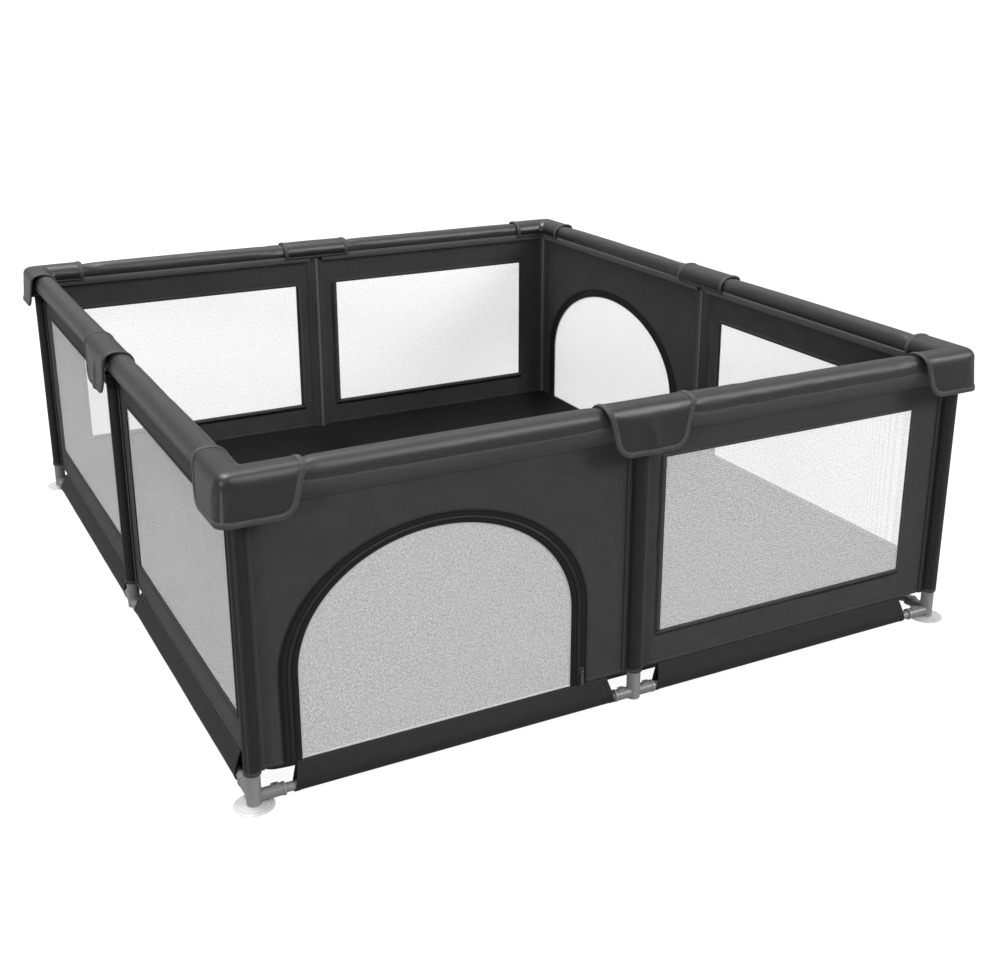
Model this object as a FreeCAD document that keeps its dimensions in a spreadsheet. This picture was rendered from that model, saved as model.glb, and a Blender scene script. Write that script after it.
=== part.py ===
"""Rectangular playpen: a plug-together tube frame with fabric walls, mesh windows and two zip doors.

World axes: X along the front wall, Y from front to back, Z up; the origin is on the floor, in the
middle of the footprint.  A wall is drawn in its own frame: X along the wall from its middle post,
-Y outwards, Z up.  A corner is drawn with its two rails leaving along +X and +Y.
"""
import FreeCAD, Part
import os
import re

import Sketcher

Vector = FreeCAD.Vector
Rotation = FreeCAD.Rotation

DIMENSIONS = [
    ("span_x", 1720, "corner post to corner post along X"),
    ("span_y", 1920, "corner post to corner post along Y"),
    ("rail_axis", 660, "height of the padded top rail's axis"),
    ("base_axis", 19, "height of the bottom tubes' axis"),
    ("tube_dia", 25, "steel tube of the posts and the top rail, outside"),
    ("base_tube", 19, "steel tube along the floor, outside"),
    ("tube_wall", 1.2, "steel tube, wall"),
    ("tube_gap", 16, "post axis to the end of a tube that is plugged into its connector"),
    ("foot_height", 5.5, "floor to the underside of a bottom connector"),
    ("leg_radius", 15, "upright socket of a connector"),
    ("leg_top", 70, "top of the bottom connectors' upright socket"),
    ("arm_radius", 15.5, "level socket of a top connector"),
    ("base_arm", 12.5, "level socket of a bottom connector"),
    ("corner_arm", 62, "post axis to the end of a corner connector's arm"),
    ("middle_arm", 50, "post axis to the end of a middle connector's arm"),
    ("top_leg", 45, "rail axis down to the end of a top connector's upright socket"),
    ("socket_clear", 0.2, "tube to socket, radial"),
    ("rim_length", 5, "thickened rim at the mouth of an arm"),
    ("rim_proud", 1, "rim over the arm's radius"),
    ("snap_corner", 42, "post axis to the snap button of a corner connector"),
    ("snap_middle", 32, "post axis to the snap hole of a middle connector"),
    ("snap_radius", 3.4, "snap button"),
    ("snap_clear", 0.3, "snap button to its hole, radial"),
    ("snap_low", 5, "tube axis to the button's inner end"),
    ("snap_high", 14.5, "tube axis to the button's outer end"),
    ("boss_radius", 5.8, "oval lip round a snap hole, across"),
    ("boss_stretch", 3, "half the straight part of that oval lip"),
    ("boss_top", 15.5, "tube axis to the top of the lip"),
    ("foam_radius", 25, "foam sleeve of the top rail"),
    ("foam_clear", 0.4, "foam to tube, radial"),
    ("foam_gap", 54, "post axis to the end of a foam sleeve"),
    ("cover_radius", 27, "fabric cover over the foam"),
    ("cover_clear", 0.3, "foam to its cover, radial"),
    ("sleeve_radius", 16.5, "fabric sleeve round a post"),
    ("sleeve_clear", 0.6, "post to its sleeve, radial"),
    ("sleeve_low", 72, "lower end of the post sleeves"),
    ("sleeve_high", 613, "upper end of the post sleeves"),
    ("panel_inset", 8, "post axis inwards to the middle of the wall cloth"),
    ("cloth", 2, "wall cloth with its binding, thick"),
    ("mesh_thick", 1, "window mesh, thick"),
    ("seam", 0.3, "gap between neighbouring sewn pieces"),
    ("panel_low", 67, "lower edge of the wall cloth"),
    ("panel_high", 633, "upper edge of the wall cloth, under the rail"),
    ("window_low", 145, "windows' lower edge"),
    ("window_high", 550, "windows' upper edge"),
    ("margin_middle_x", 66, "middle post axis to window, front and back walls"),
    ("margin_corner_x", 108, "corner post axis to window, front and back walls"),
    ("margin_middle_y", 85, "middle post axis to window, side walls"),
    ("margin_corner_y", 105, "corner post axis to window, side walls"),
    ("base_sleeve", 11.5, "fabric sleeve round a bottom tube, radius"),
    ("notch_corner", 84, "corner post axis to the end of a base sleeve"),
    ("notch_middle", 58, "middle post axis to the end of a base sleeve"),
    ("door_middle_x", 457, "middle post axis to the front door's centre line"),
    ("door_middle_y", 508, "middle post axis to the side door's centre line"),
    ("door_half_x", 300, "front door mesh, half width"),
    ("door_half_y", 358, "side door mesh, half width"),
    ("door_high", 497, "top of the door mesh"),
    ("door_spring", 250, "height where the door's straight sides end"),
    ("zip_band", 18, "width of each half of the zip"),
    ("crown_share", 0.7, "share of that width which is left at the top of the arch"),
    ("zip_thick", 1.2, "zip tape, thick"),
    ("zip_clear", 0.6, "gap along the open edge of a door"),
    ("slider_width", 11, "zip slider, across the zip"),
    ("slider_length", 17, "zip slider, along the zip"),
    ("slider_thick", 4.6, "zip slider, thick"),
    ("slider_low", 92, "lower end of a zip slider, door closed"),
    ("ear_gap", 5.6, "between the slider's ears"),
    ("ear_thick", 1.6, "one ear"),
    ("ear_reach", 4.4, "ears over the slider's face"),
    ("pull_pin", 0.8, "pin between the ears, radius"),
    ("pull_pivot", 2.4, "pin's axis over the slider's face"),
    ("pull_eye", 1.9, "eye of the pull tab, outer radius"),
    ("pull_bore", 0.85, "eye of the pull tab, bore radius"),
    ("pull_width", 5, "pull tab at its eye"),
    ("pull_grip", 8, "pull tab at its grip"),
    ("pull_length", 32, "pull tab"),
    ("pull_thick", 1.4, "pull tab, thick"),
    ("pull_hole", 1.8, "hole in the grip, radius"),
    ("cap_reach", 40, "rail axis out to the outer face of a padded cap"),
    ("cap_offset", 4, "rail axis out to the middle of a cap's oval section"),
    ("cap_up", 31, "rail axis up to the top of a cap"),
    ("cap_thick", 2.4, "padded cap, thick"),
    ("cap_inside", 640, "lower edge of a cap on the inner side"),
    ("corner_flap", 592, "lower edge of a corner cap's flap"),
    ("middle_flap", 584, "lower edge of a middle cap's flap"),
    ("corner_reach", 125, "post axis to the end of a corner cap's leg"),
    ("middle_reach", 106, "half the length of a middle cap"),
    ("mat_thick", 3, "floor cloth with its backing, measured upright"),
    ("mat_edge", 11.5, "post axes inwards to the floor cloth's raised edge"),
    ("mat_high", 64, "height of that edge, at the hem of the walls"),
    ("mat_flat", 120, "post axes inwards to where the floor cloth reaches the floor"),
    ("cup_radius", 40, "suction cup, outside"),
    ("cup_lip", 37, "suction cup, mouth of the hollow"),
    ("cup_rim", 1.3, "suction cup, rim thickness"),
    ("cup_shoulder", 4.6, "height where the cup's skirt meets its neck"),
    ("cup_neck", 12, "suction cup's neck, radius"),
    ("cup_hollow", 8, "flat roof of the hollow, radius"),
    ("cup_roof", 3, "height of the hollow's roof"),
    ("stud_radius", 6, "stud that plugs into the connector"),
    ("stud_top", 29, "top of the stud"),
    ("stud_clear", 0.2, "stud to its hole, radial"),
]

# wall: turn about Z in degrees, place of its middle post, its length, short name of its axis
WALLS = {
    "front": (0, "0", "-span_y / 2", "span_x", "x"),
    "right": (90, "span_x / 2", "0", "span_y", "y"),
    "back": (180, "0", "span_y / 2", "span_x", "x"),
    "left": (270, "-span_x / 2", "0", "span_y", "y"),
}
# corner: turn about Z in degrees, place of its post
CORNERS = {
    "front_left": (0, "-span_x / 2", "-span_y / 2"),
    "front_right": (90, "span_x / 2", "-span_y / 2"),
    "back_right": (180, "span_x / 2", "span_y / 2"),
    "back_left": (270, "-span_x / 2", "span_y / 2"),
}
# wall with a door: the half that holds it, -1 or +1 along the wall's own X
DOORS = {"front": -1, "right": 1}
LEFT, RIGHT = -1, 1

doc = FreeCAD.newDocument("playpen")
sheet = doc.addObject("Spreadsheet::Sheet", "dims")
for row, (alias, value, meaning) in enumerate(DIMENSIONS, start=1):
    sheet.set(f"A{row}", alias)
    sheet.set(f"B{row}", str(value))
    sheet.set(f"C{row}", meaning)
    sheet.setAlias(f"B{row}", alias)
doc.recompute()
ALIASES = {alias for alias, value, meaning in DIMENSIONS}
nodes = []


def formula(text):
    """The expression with every dimension's name read from the sheet."""
    return re.sub(r"[a-z_]+", lambda word: "dims." + word[0] if word[0] in ALIASES else word[0], text)


def bind(thing, **sizes):
    """Binds properties of a document object to expressions."""
    for name, text in sizes.items():
        thing.setExpression(name, formula(text))
    return thing


def place(thing, x, y, z="0", turn=Rotation()):
    """Turns an object about its own origin and binds its place."""
    thing.Placement = FreeCAD.Placement(Vector(), turn)
    for axis, text in zip("xyz", (x, y, z)):
        thing.setExpression("Placement.Base." + axis, formula(text))
    return thing


def about_z(degrees):
    return Rotation(Vector(0, 0, 1), degrees)


def at_wall(thing, wall):
    degrees, x, y = WALLS[wall][:3]
    return place(thing, x, y, "0", about_z(degrees))


def at_corner(thing, corner):
    degrees, x, y = CORNERS[corner]
    return place(thing, x, y, "0", about_z(degrees))


def box(name, x, y, z):
    """A block between (low, high) expressions along each axis."""
    block = doc.addObject("Part::Box", name)
    for size, (low, high) in zip(("Length", "Width", "Height"), (x, y, z)):
        block.setExpression(size, formula(f"({high}) - ({low})"))
    return place(block, x[0], y[0], z[0])


def rod(name, axis, radius, span, centre):
    """A cylinder along an axis, between two expressions; centre gives the other two coordinates."""
    turns = {
        "X": Rotation(Vector(0, 1, 0), 90),
        "Y": Rotation(Vector(1, 0, 0), -90),
        "Z": Rotation(),
    }
    low, high = span
    cylinder = doc.addObject("Part::Cylinder", name)
    bind(cylinder, Radius=radius, Height=f"({high}) - ({low})")
    corner = list(centre)
    corner.insert("XYZ".index(axis), low)
    return place(cylinder, *corner, turn=turns[axis])


def fuse(name, parts):
    union = doc.addObject("Part::MultiFuse", name)
    union.Shapes = parts
    return union


def cut(name, base, tools):
    """Base less one or more tools."""
    difference = doc.addObject("Part::Cut", name)
    difference.Base = base
    difference.Tool = tools[0] if len(tools) == 1 else fuse(name + "_tools", tools)
    return difference


def group(name, parts):
    compound = doc.addObject("Part::Compound", name)
    compound.Links = parts
    return compound


def node(label, thing):
    """Registers a finished sub-part under its own name."""
    thing.Label = label
    nodes.append(thing)
    return thing


def side(half, near, far):
    """(low, high) along a wall for distances from its middle post, in one half of the wall."""
    return (near, far) if half == RIGHT else (f"-({far})", f"-({near})")


def sheet_value(alias):
    return float(sheet.get(alias))


# ---------------------------------------------------------------- tube frame

def hollow_tube(name, axis, across, span, centre):
    outside = rod(name + "_outside", axis, f"{across} / 2", span, centre)
    bore = rod(name + "_bore", axis, f"{across} / 2 - tube_wall", span, centre)
    return cut(name, outside, [bore])


def make_post(label, x, y):
    post = hollow_tube("post_" + label, "Z", "tube_dia", ("base_axis + tube_gap", "rail_axis - tube_gap"),
                       ("0", "0"))
    node("post_" + label, place(post, x, y))


def make_level_tubes(label, across, height, snap_holes):
    """Two tubes for each wall, from its middle connector to the corner connectors."""
    tubes = []
    for wall in WALLS:
        length = WALLS[wall][3]
        for half in (LEFT, RIGHT):
            name = f"{label}_{wall}_{'left' if half == LEFT else 'right'}"
            span = side(half, "tube_gap", f"{length} / 2 - tube_gap")
            tube = hollow_tube(name, "X", across, span, ("0", height))
            if snap_holes:
                place_x = side(half, f"{length} / 2 - snap_corner", "0")[0 if half == RIGHT else 1]
                hole = rod(name + "_snap_hole", "Z", "snap_radius + snap_clear",
                           (height, f"{height} + {across}"), (place_x, "0"))
                tube = cut(name + "_drilled", tube, [hole])
            tubes.append(at_wall(tube, wall))
    node(label, group(label, tubes))


def socket_arm(name, axis, radius, tube, reach, height, sign=1):
    """(solids, bores) of one level arm that leaves the post's axis, with a thickened rim."""
    def span(near, far):
        return (near, far) if sign > 0 else (f"-({far})", f"-({near})")
    solids = [
        rod(name + "_arm", axis, radius, span("0", reach), ("0", height)),
        rod(name + "_rim", axis, f"{radius} + rim_proud", span(f"{reach} - rim_length", reach), ("0", height)),
    ]
    bores = [rod(name + "_bore", axis, f"{tube} / 2 + socket_clear", span("tube_gap", f"{reach} + 1"),
                 ("0", height))]
    return solids, bores


def snap_lip(name, axis, distance):
    """(solids, bores) of the oval lip and hole on top of an arm; distance is signed along the axis."""
    x, y = (distance, "0") if axis == "X" else ("0", distance)
    heights = ("base_axis", "base_axis + boss_top")
    shift_x, shift_y = ("boss_stretch", "0") if axis == "X" else ("0", "boss_stretch")
    ends = [
        rod(f"{name}_lip_{tag}", "Z", "boss_radius", heights, (f"{x} {sign} {shift_x}", f"{y} {sign} {shift_y}"))
        for tag, sign in (("near", "-"), ("far", "+"))
    ]
    half_x, half_y = ("boss_stretch", "boss_radius") if axis == "X" else ("boss_radius", "boss_stretch")
    middle = box(name + "_lip_middle", (f"{x} - {half_x}", f"{x} + {half_x}"),
                 (f"{y} - {half_y}", f"{y} + {half_y}"), heights)
    hole = rod(name + "_snap_bore", "Z", "snap_radius + snap_clear", ("base_axis", "base_axis + base_tube"), (x, y))
    return ends + [middle], [hole]


def make_bottom_connector(name, arms, reach, snap, stud_hole):
    """arms: (axis, sign) of each level socket.  One upright socket takes the post."""
    solids = [rod(name + "_leg", "Z", "leg_radius", ("foot_height", "leg_top"), ("0", "0"))]
    bores = [rod(name + "_leg_bore", "Z", "tube_dia / 2 + socket_clear",
                 ("base_axis + tube_gap", "leg_top + 1"), ("0", "0"))]
    for axis, sign in arms:
        tag = f"{name}_{axis.lower()}{'p' if sign > 0 else 'n'}"
        arm, arm_bore = socket_arm(tag, axis, "base_arm", "base_tube", reach, "base_axis", sign)
        lip, lip_bore = snap_lip(tag, axis, snap if sign > 0 else f"-{snap}")
        solids += arm + lip
        bores += arm_bore + lip_bore
    if stud_hole:
        bores.append(rod(name + "_stud_hole", "Z", "stud_radius + stud_clear",
                         ("foot_height - 1", "stud_top + stud_clear"), ("0", "0")))
    return cut(name, fuse(name + "_body", solids), bores)


def make_top_connector(name, arms):
    solids = [rod(name + "_leg", "Z", "leg_radius", ("rail_axis - top_leg", "rail_axis + arm_radius"), ("0", "0"))]
    bores = [rod(name + "_leg_bore", "Z", "tube_dia / 2 + socket_clear",
                 ("rail_axis - top_leg - 1", "rail_axis - tube_gap"), ("0", "0"))]
    for axis, sign in arms:
        tag = f"{name}_{axis.lower()}{'p' if sign > 0 else 'n'}"
        arm, arm_bore = socket_arm(tag, axis, "arm_radius", "tube_dia", "middle_arm", "rail_axis", sign)
        solids += arm
        bores += arm_bore
    return cut(name, fuse(name + "_body", solids), bores)


def make_snap_button(label, corner, axis):
    x, y = ("snap_corner", "0") if axis == "X" else ("0", "snap_corner")
    pin = rod("snap_pin_" + label, "Z", "snap_radius", ("base_axis + snap_low", "base_axis + snap_high"), (x, y))
    node("snap_button_" + label, at_corner(group("snap_group_" + label, [pin]), corner))


# ---------------------------------------------------------------- suction cups and mat

def profile(body, name, points):
    """A closed outline on the body's XZ plane; every coordinate is a cell's name or 0."""
    sketch = body.newObject("Sketcher::SketchObject", name)
    plane = [face for face in body.Origin.OriginFeatures if face.Role == "XZ_Plane"][0]
    sketch.AttachmentSupport = [(plane, "")]
    sketch.MapMode = "FlatFace"
    spots = [Vector(*(0.0 if alias == "0" else sheet_value(alias) for alias in point), 0) for point in points]
    count = len(spots)
    for index in range(count):
        sketch.addGeometry(Part.LineSegment(spots[index], spots[(index + 1) % count]), False)
    origin_vertex, x_axis, z_axis, start, end = (-1, 1), -1, -2, 1, 2
    for index, (across, up) in enumerate(points):
        sketch.addConstraint(Sketcher.Constraint("Coincident", index, end, (index + 1) % count, start))
        for alias, kind, rest_line in ((across, "DistanceX", z_axis), (up, "DistanceY", x_axis)):
            if alias == "0":
                sketch.addConstraint(Sketcher.Constraint("PointOnObject", index, start, rest_line))
                continue
            rule = Sketcher.Constraint(kind, *origin_vertex, index, start, sheet_value(alias))
            number = sketch.addConstraint(rule)
            sketch.setExpression(f"Constraints[{number}]", "dims." + alias)
    return sketch


def make_suction_cup(corner):
    label = "suction_cup_" + corner
    body = doc.addObject("PartDesign::Body", label)
    outline = profile(body, label + "_outline", [
        ("0", "stud_top"), ("stud_radius", "stud_top"), ("stud_radius", "foot_height"),
        ("cup_neck", "foot_height"), ("cup_neck", "cup_shoulder"), ("cup_radius", "cup_rim"),
        ("cup_radius", "0"), ("cup_lip", "0"), ("cup_hollow", "cup_roof"), ("0", "cup_roof"),
    ])
    turned = body.newObject("PartDesign::Revolution", label + "_turned")
    turned.Profile = outline
    turned.ReferenceAxis = (outline, ["V_Axis"])
    turned.Angle = 360
    outline.Visibility = False
    node(label, at_corner(body, corner))


def spread_tray(name, height):
    """A solid that is small at the bottom and wide at the top; it stands on its Y axis until it is turned."""
    tray = doc.addObject("Part::Wedge", name)
    bind(tray, Ymin="0", Ymax="mat_high")
    for axis, span in (("X", "span_x"), ("Z", "span_y")):
        for end, sign in (("min", "-1"), ("max", "1")):
            bind(tray, **{
                axis + end: f"{sign} * ({span} / 2 - mat_flat)",
                f"{axis}2{end}": f"{sign} * ({span} / 2 - mat_edge)",
            })
    return place(tray, "0", "0", height, Rotation(Vector(1, 0, 0), 90))


def make_floor_mat():
    """The floor cloth: flat in the middle, raised to the hem of the walls, cut out for the middle posts."""
    posts = [rod("mat_cut_" + wall, "Z", "leg_radius + 2 * seam", ("0", "mat_high + 1"), about[1:3])
             for wall, about in WALLS.items()]
    hollow = spread_tray("mat_hollow", "mat_thick")
    node("floor_mat", cut("floor_mat", spread_tray("mat_blank", "0"), [hollow] + posts))


# ---------------------------------------------------------------- fabric

def cloth_depth(thick="cloth"):
    return (f"panel_inset - {thick} / 2", f"panel_inset + {thick} / 2")


def window_edges(wall):
    """(near, far) distances of a wall's windows from its middle post."""
    length, short = WALLS[wall][3:]
    return f"margin_middle_{short}", f"{length} / 2 - margin_corner_{short}"


def window_frame(name, wall, half):
    """The four strips of cloth round one window."""
    length = WALLS[wall][3]
    near, far = window_edges(wall)
    full = side(half, "leg_radius + seam", f"{length} / 2 - leg_radius - seam")
    between = ("window_low + seam", "window_high - seam")
    return [
        box(name + "_upper", full, cloth_depth(), ("window_high", "panel_high")),
        box(name + "_lower", full, cloth_depth(), ("panel_low", "window_low")),
        box(name + "_middle_strip", side(half, "leg_radius + seam", near), cloth_depth(), between),
        box(name + "_corner_strip", side(half, far, f"{length} / 2 - leg_radius - seam"), cloth_depth(), between),
    ]


def round_sleeve(name, axis, outer, inner, span, centre):
    skin = rod(name + "_skin", axis, outer, span, centre)
    return cut(name, skin, [rod(name + "_inside", axis, inner, span, centre)])


def base_sleeve(name, wall, half):
    """The pocket of cloth that holds a bottom tube: round below, with a tab up to the wall cloth."""
    span = side(half, "notch_middle", f"{WALLS[wall][3]} / 2 - notch_corner")
    wrap = rod(name + "_wrap", "X", "base_sleeve", span, ("0", "base_axis"))
    tab = box(name + "_tab", span, ("panel_inset - cloth", "panel_inset + cloth / 2"),
              ("base_axis", "panel_low - seam"))
    tunnel = rod(name + "_tunnel", "X", "base_tube / 2 + sleeve_clear", span, ("0", "base_axis"))
    return cut(name, fuse(name + "_outer", [wrap, tab]), [tunnel])


def make_wall_fabric(wall):
    label = "wall_fabric_" + wall
    length = WALLS[wall][3]
    pieces = []
    for half in (LEFT, RIGHT):
        name = f"{label}_{'left' if half == LEFT else 'right'}"
        rail = side(half, "foam_gap", f"{length} / 2 - foam_gap")
        pieces.append(round_sleeve(name + "_rail_cover", "X", "cover_radius", "foam_radius + cover_clear",
                                   rail, ("0", "rail_axis")))
        pieces.append(base_sleeve(name + "_base", wall, half))
        if DOORS.get(wall) != half:
            pieces += window_frame(name, wall, half)
    heights = ("sleeve_low", "sleeve_high")
    for tag, x in (("middle", "0"), ("corner", f"-{length} / 2")):
        pieces.append(round_sleeve(f"{label}_{tag}_sleeve", "Z", "sleeve_radius", "tube_dia / 2 + sleeve_clear",
                                   heights, (x, "0")))
    node(label, at_wall(group(label, pieces), wall))


def make_window_mesh(wall):
    near, far = window_edges(wall)
    panes = [
        box(f"window_mesh_{wall}_{half + 1}", side(half, f"{near} + seam", f"{far} - seam"),
            cloth_depth("mesh_thick"), ("window_low + seam * 2", "window_high - seam * 2"))
        for half in (LEFT, RIGHT) if DOORS.get(wall) != half
    ]
    node("window_mesh_" + wall, at_wall(group("window_mesh_" + wall, panes), wall))


def make_rail_foam():
    sleeves = []
    for wall in WALLS:
        for half in (LEFT, RIGHT):
            name = f"rail_foam_{wall}_{half + 1}"
            span = side(half, "foam_gap", f"{WALLS[wall][3]} / 2 - foam_gap")
            foam = round_sleeve(name, "X", "foam_radius", "tube_dia / 2 + foam_clear", span, ("0", "rail_axis"))
            sleeves.append(at_wall(foam, wall))
    node("rail_foam", group("rail_foam", sleeves))


# ---------------------------------------------------------------- doors and zips

def arch(name, wall, grow, depth):
    """A round-topped slab: straight sides, half an ellipse above; grow widens it all round."""
    short = WALLS[wall][4]
    half_width = f"door_half_{short} + {grow}"
    sign = "-" if DOORS[wall] == LEFT else ""
    centre = f"{sign}door_middle_{short}"
    front, back = depth
    oval = doc.addObject("Part::Ellipse", name + "_oval")
    bind(oval, MajorRadius=half_width, MinorRadius=f"door_high - door_spring + ({grow}) * crown_share")
    place(oval, centre, back, "door_spring", Rotation(Vector(1, 0, 0), 90))
    crown = doc.addObject("Part::Extrusion", name + "_crown")
    crown.Base = oval
    crown.Solid = True
    crown.DirMode = "Custom"
    crown.Dir = Vector(0, -1, 0)
    bind(crown, LengthFwd=f"({back}) - ({front})")
    across = (f"{centre} - ({half_width})", f"{centre} + ({half_width})")
    legs = box(name + "_legs", across, depth, ("panel_low", "door_spring"))
    below = box(name + "_below", (f"{across[0]} - 1", f"{across[1]} + 1"), (f"{front} - 1", f"{back} + 1"),
                ("-door_spring", "panel_low"))
    return cut(name, fuse(name + "_whole", [crown, legs]), [below])


def tape_depth():
    """From the outer face of the zip tape to its back, which lies on the wall cloth."""
    return ("panel_inset - cloth / 2 - zip_thick - seam", "panel_inset - cloth / 2 - seam")


def make_door_surround(wall):
    length = WALLS[wall][3]
    label = "door_surround_" + wall
    span = side(DOORS[wall], "leg_radius + seam", f"{length} / 2 - leg_radius - seam")
    panel = box(label + "_panel", span, cloth_depth(), ("panel_low", "panel_high"))
    through = ("panel_inset - cloth", "panel_inset + cloth")
    doorway = arch(label + "_doorway", wall, "zip_band + zip_clear", through)
    sill = box(label + "_sill", span, through, ("panel_low - 1", "panel_low"))
    node(label, at_wall(cut(label, panel, [doorway, sill]), wall))


def make_zip_tape(wall):
    label = "zip_tape_" + wall
    outer = arch(label + "_outer", wall, "zip_band * 2", tape_depth())
    front, back = tape_depth()
    inner = arch(label + "_inner", wall, "zip_band + zip_clear", (f"{front} - 1", f"{back} + 1"))
    node(label, at_wall(cut(label, outer, [inner]), wall))


def make_door(wall):
    """The mesh leaf with the inner half of the zip sewn round it; it hangs on its lower edge."""
    label = "door_" + wall
    leaf = arch(label + "_leaf", wall, "zip_band", cloth_depth())
    front = tape_depth()[0]
    border_depth = (front, "panel_inset - cloth / 2 + cloth / 4")
    border = arch(label + "_border", wall, "zip_band", border_depth)
    pane = arch(label + "_pane", wall, "0", (f"{front} - 1", "panel_inset - cloth / 2"))
    node(label, at_wall(cut(label, fuse(label + "_whole", [leaf, border]), [pane]), wall))


def slider_place(wall):
    """Centre line of a slider: on the outer half of the zip, on the side near the middle post."""
    short = WALLS[wall][4]
    distance = f"door_middle_{short} - door_half_{short} - zip_band - zip_clear * 2 - slider_width / 2"
    return distance if DOORS[wall] == RIGHT else f"-({distance})"


def slider_face():
    """Outer face of the slider and its back, which runs just off the tape."""
    back = f"{tape_depth()[0]} - seam"
    return f"{back} - slider_thick", back


def make_zip_slider(wall):
    label = "zip_slider_" + wall
    centre = slider_place(wall)
    face, back = slider_face()
    top = "slider_low + slider_length"
    body = box(label + "_body", (f"{centre} - slider_width / 2", f"{centre} + slider_width / 2"),
               (face, back), ("slider_low", top))
    ears = [
        box(f"{label}_ear_{tag}", (low, high), (f"{face} - ear_reach", face),
            (f"{top} - slider_length / 2 - pull_pivot", f"{top} - slider_length / 2 + pull_pivot"))
        for tag, low, high in (
            ("low", f"{centre} - ear_gap / 2 - ear_thick", f"{centre} - ear_gap / 2"),
            ("high", f"{centre} + ear_gap / 2", f"{centre} + ear_gap / 2 + ear_thick"),
        )
    ]
    pin = rod(label + "_pin", "X", "pull_pin", (f"{centre} - ear_gap / 2 - ear_thick",
                                                f"{centre} + ear_gap / 2 + ear_thick"),
              (f"{face} - pull_pivot", "slider_low + slider_length / 2"))
    node(label, at_wall(fuse(label, [body, pin] + ears), wall))


def make_zip_pull(wall):
    label = "zip_pull_" + wall
    centre = slider_place(wall)
    pivot_y = f"{slider_face()[0]} - pull_pivot"
    pivot_z = "slider_low + slider_length / 2"
    eye = rod(label + "_eye", "X", "pull_eye", (f"{centre} - pull_width / 2", f"{centre} + pull_width / 2"),
              (pivot_y, pivot_z))
    depth = (f"{pivot_y} - pull_thick / 2", f"{pivot_y} + pull_thick / 2")
    strap = box(label + "_strap", (f"{centre} - pull_width / 2", f"{centre} + pull_width / 2"), depth,
                (f"{pivot_z} - pull_length / 2", pivot_z))
    grip = box(label + "_grip", (f"{centre} - pull_grip / 2", f"{centre} + pull_grip / 2"), depth,
               (f"{pivot_z} - pull_length", f"{pivot_z} - pull_length / 3"))
    bore = rod(label + "_bore", "X", "pull_bore", (f"{centre} - pull_width", f"{centre} + pull_width"),
               (pivot_y, pivot_z))
    hole = rod(label + "_hole", "Y", "pull_hole", (f"{pivot_y} - pull_thick", f"{pivot_y} + pull_thick"),
               (centre, f"{pivot_z} - pull_length + pull_hole * 2"))
    node(label, at_wall(cut(label, fuse(label + "_whole", [eye, strap, grip]), [bore, hole]), wall))


# ---------------------------------------------------------------- padded caps over the posts

def oval_bar(name, axis, across, up, span):
    """A bar of oval section along a rail: its middle lies cap_offset outside the rail's axis."""
    low, high = span
    oval = doc.addObject("Part::Ellipse", name + "_oval")
    bind(oval, MajorRadius=across, MinorRadius=up)
    if axis == "X":
        place(oval, low, "-cap_offset", "rail_axis", Rotation(Vector(1, 1, 1), 120))
    else:
        place(oval, "-cap_offset", low, "rail_axis", Rotation(Vector(1, 0, 0), 90))
    bar = doc.addObject("Part::Extrusion", name)
    bar.Base = oval
    bar.Solid = True
    bar.DirMode = "Custom"
    bar.Dir = Vector(1, 0, 0) if axis == "X" else Vector(0, 1, 0)
    return bind(bar, LengthFwd=f"({high}) - ({low})")


def saddle(name, axis, span, flap_low, inset, open_inside):
    """Solids that fill a cap's cross-section along a rail, shrunk all round by inset."""
    def block(tag, y, z):
        x_range, y_range = (span, y) if axis == "X" else (y, span)
        return box(name + tag, x_range, y_range, z)
    outside = f"-cap_reach + {inset}"
    parts = [
        oval_bar(name + "_bar", axis, f"cap_reach - cap_offset - {inset}", f"cap_up - {inset}", span),
        block("_flap", (outside, "-cap_offset"), (flap_low, "rail_axis")),
    ]
    if open_inside:
        parts.append(block("_mouth", (outside, "cap_reach"), (flap_low, "cap_inside")))
    return parts


def corner_fill(name, flap_low, inset):
    """The rounded outer corner of a cap: an upright drum under a flattened dome."""
    dome = doc.addObject("Part::Ellipsoid", name + "_dome")
    bind(dome, Radius1=f"cap_up - {inset}", Radius2=f"cap_reach - {inset}", Radius3=f"cap_reach - {inset}")
    place(dome, "0", "0", "rail_axis")
    drum = rod(name + "_drum", "Z", f"cap_reach - {inset}", (flap_low, "rail_axis"), ("0", "0"))
    return [drum, dome]


def make_corner_cap(corner):
    label = "corner_cap_" + corner
    outer = corner_fill(label + "_out", "corner_flap", "0")
    hollow = corner_fill(label + "_in", "corner_flap - 1", "cap_thick")
    for axis in "XY":
        outer += saddle(f"{label}_out_{axis}", axis, ("0", "corner_reach"), "corner_flap", "0", False)
        hollow += saddle(f"{label}_in_{axis}", axis, ("0", "corner_reach + 1"), "corner_flap - 1",
                         "cap_thick", True)
    node(label, at_corner(cut(label, fuse(label + "_outer", outer), hollow), corner))


def make_middle_cap(wall):
    label = "middle_cap_" + wall
    span = ("-middle_reach", "middle_reach")
    outer = saddle(label + "_out", "X", span, "middle_flap", "0", False)
    hollow = saddle(label + "_in", "X", ("-middle_reach - 1", "middle_reach + 1"), "middle_flap - 1",
                    "cap_thick", True)
    node(label, at_wall(cut(label, fuse(label + "_outer", outer), hollow), wall))


# ---------------------------------------------------------------- the whole object

CORNER_ARMS = (("X", 1), ("Y", 1))
MIDDLE_ARMS = (("X", 1), ("X", -1))

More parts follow.
